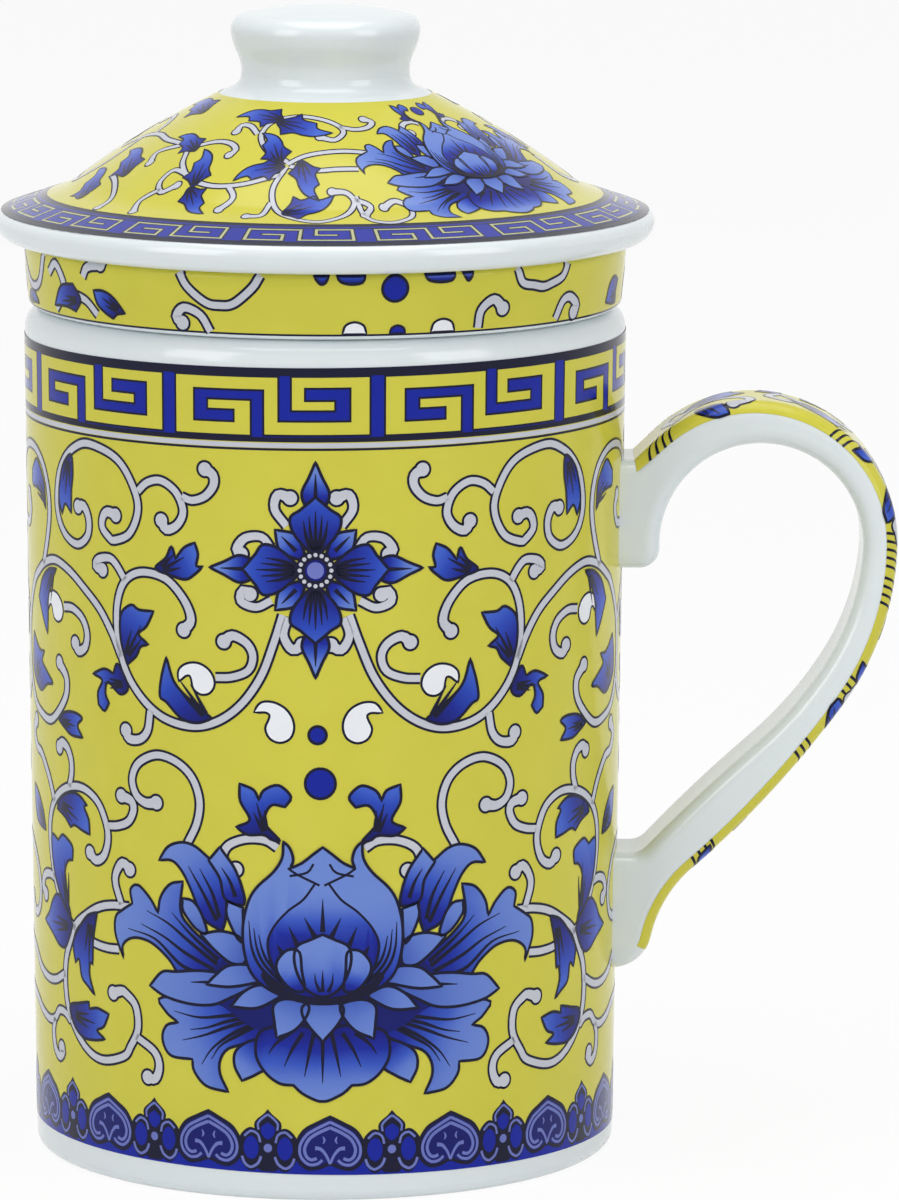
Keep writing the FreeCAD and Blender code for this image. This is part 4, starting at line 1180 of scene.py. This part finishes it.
def on_handle(run, across):
    """Places and outward directions on the strap's outer face, rounded corners and sides."""
    spot = np.column_stack([np.interp(run, strap_along, part) for part in strap.T])
    out = np.column_stack([np.interp(run, strap_along, part) for part in strap_outs.T])
    side = np.sign(across)
    bend = np.clip((abs(across) - FLAT_HALF) / HANDLE_ROUND, 0, math.pi / 2)
    down = np.clip(abs(across) - FLAT_HALF - CORNER_RUN, 0, None)
    deep = HANDLE_ROUND * (1 - np.cos(bend)) + down
    aside = side * (np.minimum(abs(across), FLAT_HALF) + HANDLE_ROUND * np.sin(bend))
    place = np.column_stack([spot[:, 0] - out[:, 0] * deep, aside, spot[:, 1] - out[:, 1] * deep])
    outward = np.column_stack([out[:, 0] * np.cos(bend), side * np.sin(bend), out[:, 1] * np.cos(bend)])
    return place, outward


STRIP_HALF = FLAT_HALF + CORNER_RUN * 0.8
STRIP_START, STRIP_END = 1.6, strap_along[-1] - 5.0
STRIP_MARGIN, SPRIG_REACH, SPRIG_ASIDE = 0.2, 8, 1.5
CORNER_CREASES = 9
corner_creases = FLAT_HALF + np.linspace(0, CORNER_RUN, CORNER_CREASES)
handle_creases = np.concatenate([-corner_creases[::-1], corner_creases])
handle = Enamel(Ground(on_handle, strap_along, np.sort(handle_creases)))
strip = [(STRIP_START, -STRIP_HALF), (STRIP_END, -STRIP_HALF), (STRIP_END, STRIP_HALF),
         (STRIP_START, STRIP_HALF)]
handle.lay(np.array(strip), [(0, 1, 2, 3)], "yellow", GROUND, on_sheet=True)


def handle_sprig(run, across, side, way):
    """Where a sprig drawn about its own stalk goes on the strip."""
    def place(spots):
        x, y = np.asarray(spots, float).T
        limit = STRIP_HALF - STRIP_MARGIN
        return np.column_stack([run + way * x, np.clip(across + side * y, -limit, limit)])
    return place


sprigs = Brush(handle, [
    handle_sprig(run, -side * SPRIG_ASIDE, side, way)
    for run, side, way in ((13, 1, 1), (27, -1, 1), (42, 1, 1), (57, -1, 1), (72, 1, -1), (88, -1, 1))
    if run < STRIP_END - SPRIG_REACH
])
sprigs.vine([(-5, -2), (-2, 0.6), (2, 1.2), (5, -0.6), (5.4, -3), (3.4, -3.6)])
sprigs.vine([(-4.6, -1.4), (-6, 1.4), (-4.4, 3.4), (-2.6, 2.4)])
sprigs.sprig_leaf(
    [(-3, 1.6, TIP), (-1.6, 4), (0.6, 5.6), (3.2, 6.4, TIP), (3.6, 4.6), (5, 3.6, TIP), (2.6, 2), (0, 1)],
    (-2, 1.8), (3.4, 5.6))
sprigs.sprig_leaf(
    [(-1.6, -1.6, TIP), (-1.4, -3.8), (0.6, -5.8), (2.6, -6.8, TIP), (2.4, -4.4), (1.2, -2.4)], (-1, -2),
    (2.2, -6.2))
sprigs.sprig_leaf(
    [(6.4, 4.6, TIP), (7.2, 6.4), (6.6, 8, TIP), (8.8, 7.6), (9.8, 6, TIP), (8.4, 4.6)], (6.8, 5.2), (9, 7),
    0.5)
TICK_STEP, TICK_WIDE = 1.1, [0.4, 0.3, 0.1]
for run, ticks in ((3.5, 4), (30, 3), (46, 5), (52, 4), (66, 3), (76, 3), (94, 4)):
    for number in range(ticks):
        start = run + number * TICK_STEP
        tick = [(start, STRIP_HALF), (start + 0.5, STRIP_HALF - 1.5), (start + 1.5, STRIP_HALF - 2.8)]
        for side in (1, -1):
            edge_brush = Brush(handle, [lambda spots, side=side: np.asarray(spots, float) * (1, side)])
            edge_brush.stroke(tick, TICK_WIDE, "navy", VINE_EDGE)
handle.made("handle_enamel", "mug")


# Porcelain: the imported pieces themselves, in white glaze.

for node, finish in white_glaze.items():
    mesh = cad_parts[node].data
    mesh.materials.clear()
    mesh.materials.append(finish)


# Studio

def softbox(name, place, aim, wide, tall, watts):
    """A soft rectangular lamp that faces a spot."""
    lamp = bpy.data.lights.new(name, "AREA")
    lamp.shape = "RECTANGLE"
    lamp.size, lamp.size_y = wide, tall
    lamp.energy = watts
    stand = bpy.data.objects.new(name, lamp)
    stand.location = place
    stand.rotation_euler = (Vector(aim) - Vector(place)).to_track_quat("-Z", "Y").to_euler()
    bpy.context.scene.collection.objects.link(stand)


def seen_by_eye(nodes, links):
    """1 for what the camera sees, straight on, mirrored or through glass, and 0 for what lights the mug."""
    rays = nodes.new("ShaderNodeLightPath")
    seen = rays.outputs["Is Camera Ray"]
    for way in ("Is Glossy Ray", "Is Transmission Ray"):
        most = nodes.new("ShaderNodeMath")
        most.operation = "MAXIMUM"
        links.new(seen, most.inputs[0])
        links.new(rays.outputs[way], most.inputs[1])
        seen = most.outputs["Value"]
    return seen


MUG_HEART = (0.0, 0.0, 0.07)
WHITE = (1, 1, 1, 1)
ROOM_LIGHT = 0.28
PAPER_WHITE, PAPER_ROUGH, PAPER_SHINE, PAPER_GLOW = (0.9, 0.9, 0.9, 1), 0.9, 0.1, 0.92
FLOOR_HALF, FLOOR_SQUARES = 6.0, 4
for name, place, wide, tall, watts in (
    ("left_softbox", (-0.85, -0.75, 0.55), 0.6, 0.8, 4.6),
    ("right_softbox", (0.9, -0.7, 0.5), 0.6, 0.8, 4.2),
    ("top_softbox", (0.0, -0.1, 1.1), 0.9, 0.9, 7.0),
):
    softbox(name, place, MUG_HEART, wide, tall, watts)

world = bpy.data.worlds.new("white_studio")
bpy.context.scene.world = world
world.use_nodes = True
sky, links = world.node_tree.nodes, world.node_tree.links
room = sky["Background"]
room.inputs["Color"].default_value = WHITE
room.inputs["Strength"].default_value = ROOM_LIGHT
seen = sky.new("ShaderNodeBackground")
seen.inputs["Color"].default_value = WHITE
seen.inputs["Strength"].default_value = 1.0
shown = seen_by_eye(sky, links)
choose = sky.new("ShaderNodeMixShader")
links.new(shown, choose.inputs["Fac"])
links.new(room.outputs["Background"], choose.inputs[1])
links.new(seen.outputs["Background"], choose.inputs[2])
links.new(choose.outputs["Shader"], sky["World Output"].inputs["Surface"])

sheet = bmesh.new()
bmesh.ops.create_grid(sheet, x_segments=FLOOR_SQUARES, y_segments=FLOOR_SQUARES, size=FLOOR_HALF)
floor_mesh = bpy.data.meshes.new("floor")
sheet.to_mesh(floor_mesh)
sheet.free()
floor = bpy.data.objects.new("floor", floor_mesh)
bpy.context.scene.collection.objects.link(floor)
paper = bpy.data.materials.new("white_paper")
paper.use_nodes = True
nodes, links = paper.node_tree.nodes, paper.node_tree.links
matt = nodes["Principled BSDF"]
matt.inputs["Base Color"].default_value = PAPER_WHITE
matt.inputs["Roughness"].default_value = PAPER_ROUGH
matt.inputs["Specular IOR Level"].default_value = PAPER_SHINE
glow = nodes.new("ShaderNodeEmission")
glow.inputs["Strength"].default_value = 1.0
shown = seen_by_eye(nodes, links)
part = nodes.new("ShaderNodeMath")
part.operation = "MULTIPLY"
part.inputs[1].default_value = PAPER_GLOW
links.new(shown, part.inputs[0])
blend = nodes.new("ShaderNodeMixShader")
links.new(part.outputs["Value"], blend.inputs["Fac"])
links.new(matt.outputs["BSDF"], blend.inputs[1])
links.new(glow.outputs["Emission"], blend.inputs[2])
links.new(blend.outputs["Shader"], nodes["Material Output"].inputs["Surface"])
floor_mesh.materials.append(paper)

# Camera: its place and dip were solved from the mug's rings in the photograph.

CAMERA_PLACE, CAMERA_DIP, CAMERA_ROLL = (0.01587, -1.025, 0.2371), 0.1616, 0.0030
LENS, SENSOR_WIDE = 244.08, 36.0
camera = bpy.data.cameras.new("photograph_view")
camera.sensor_width = SENSOR_WIDE
camera.lens = LENS
camera_stand = bpy.data.objects.new("photograph_view", camera)
camera_stand.location = CAMERA_PLACE
upright = Matrix.Rotation(math.pi / 2 - CAMERA_DIP, 3, "X")
camera_stand.rotation_euler = (upright @ Matrix.Rotation(CAMERA_ROLL, 3, "Z")).to_euler()
bpy.context.scene.collection.objects.link(camera_stand)
bpy.context.scene.camera = camera_stand
bpy.context.scene.view_settings.view_transform = "Standard"
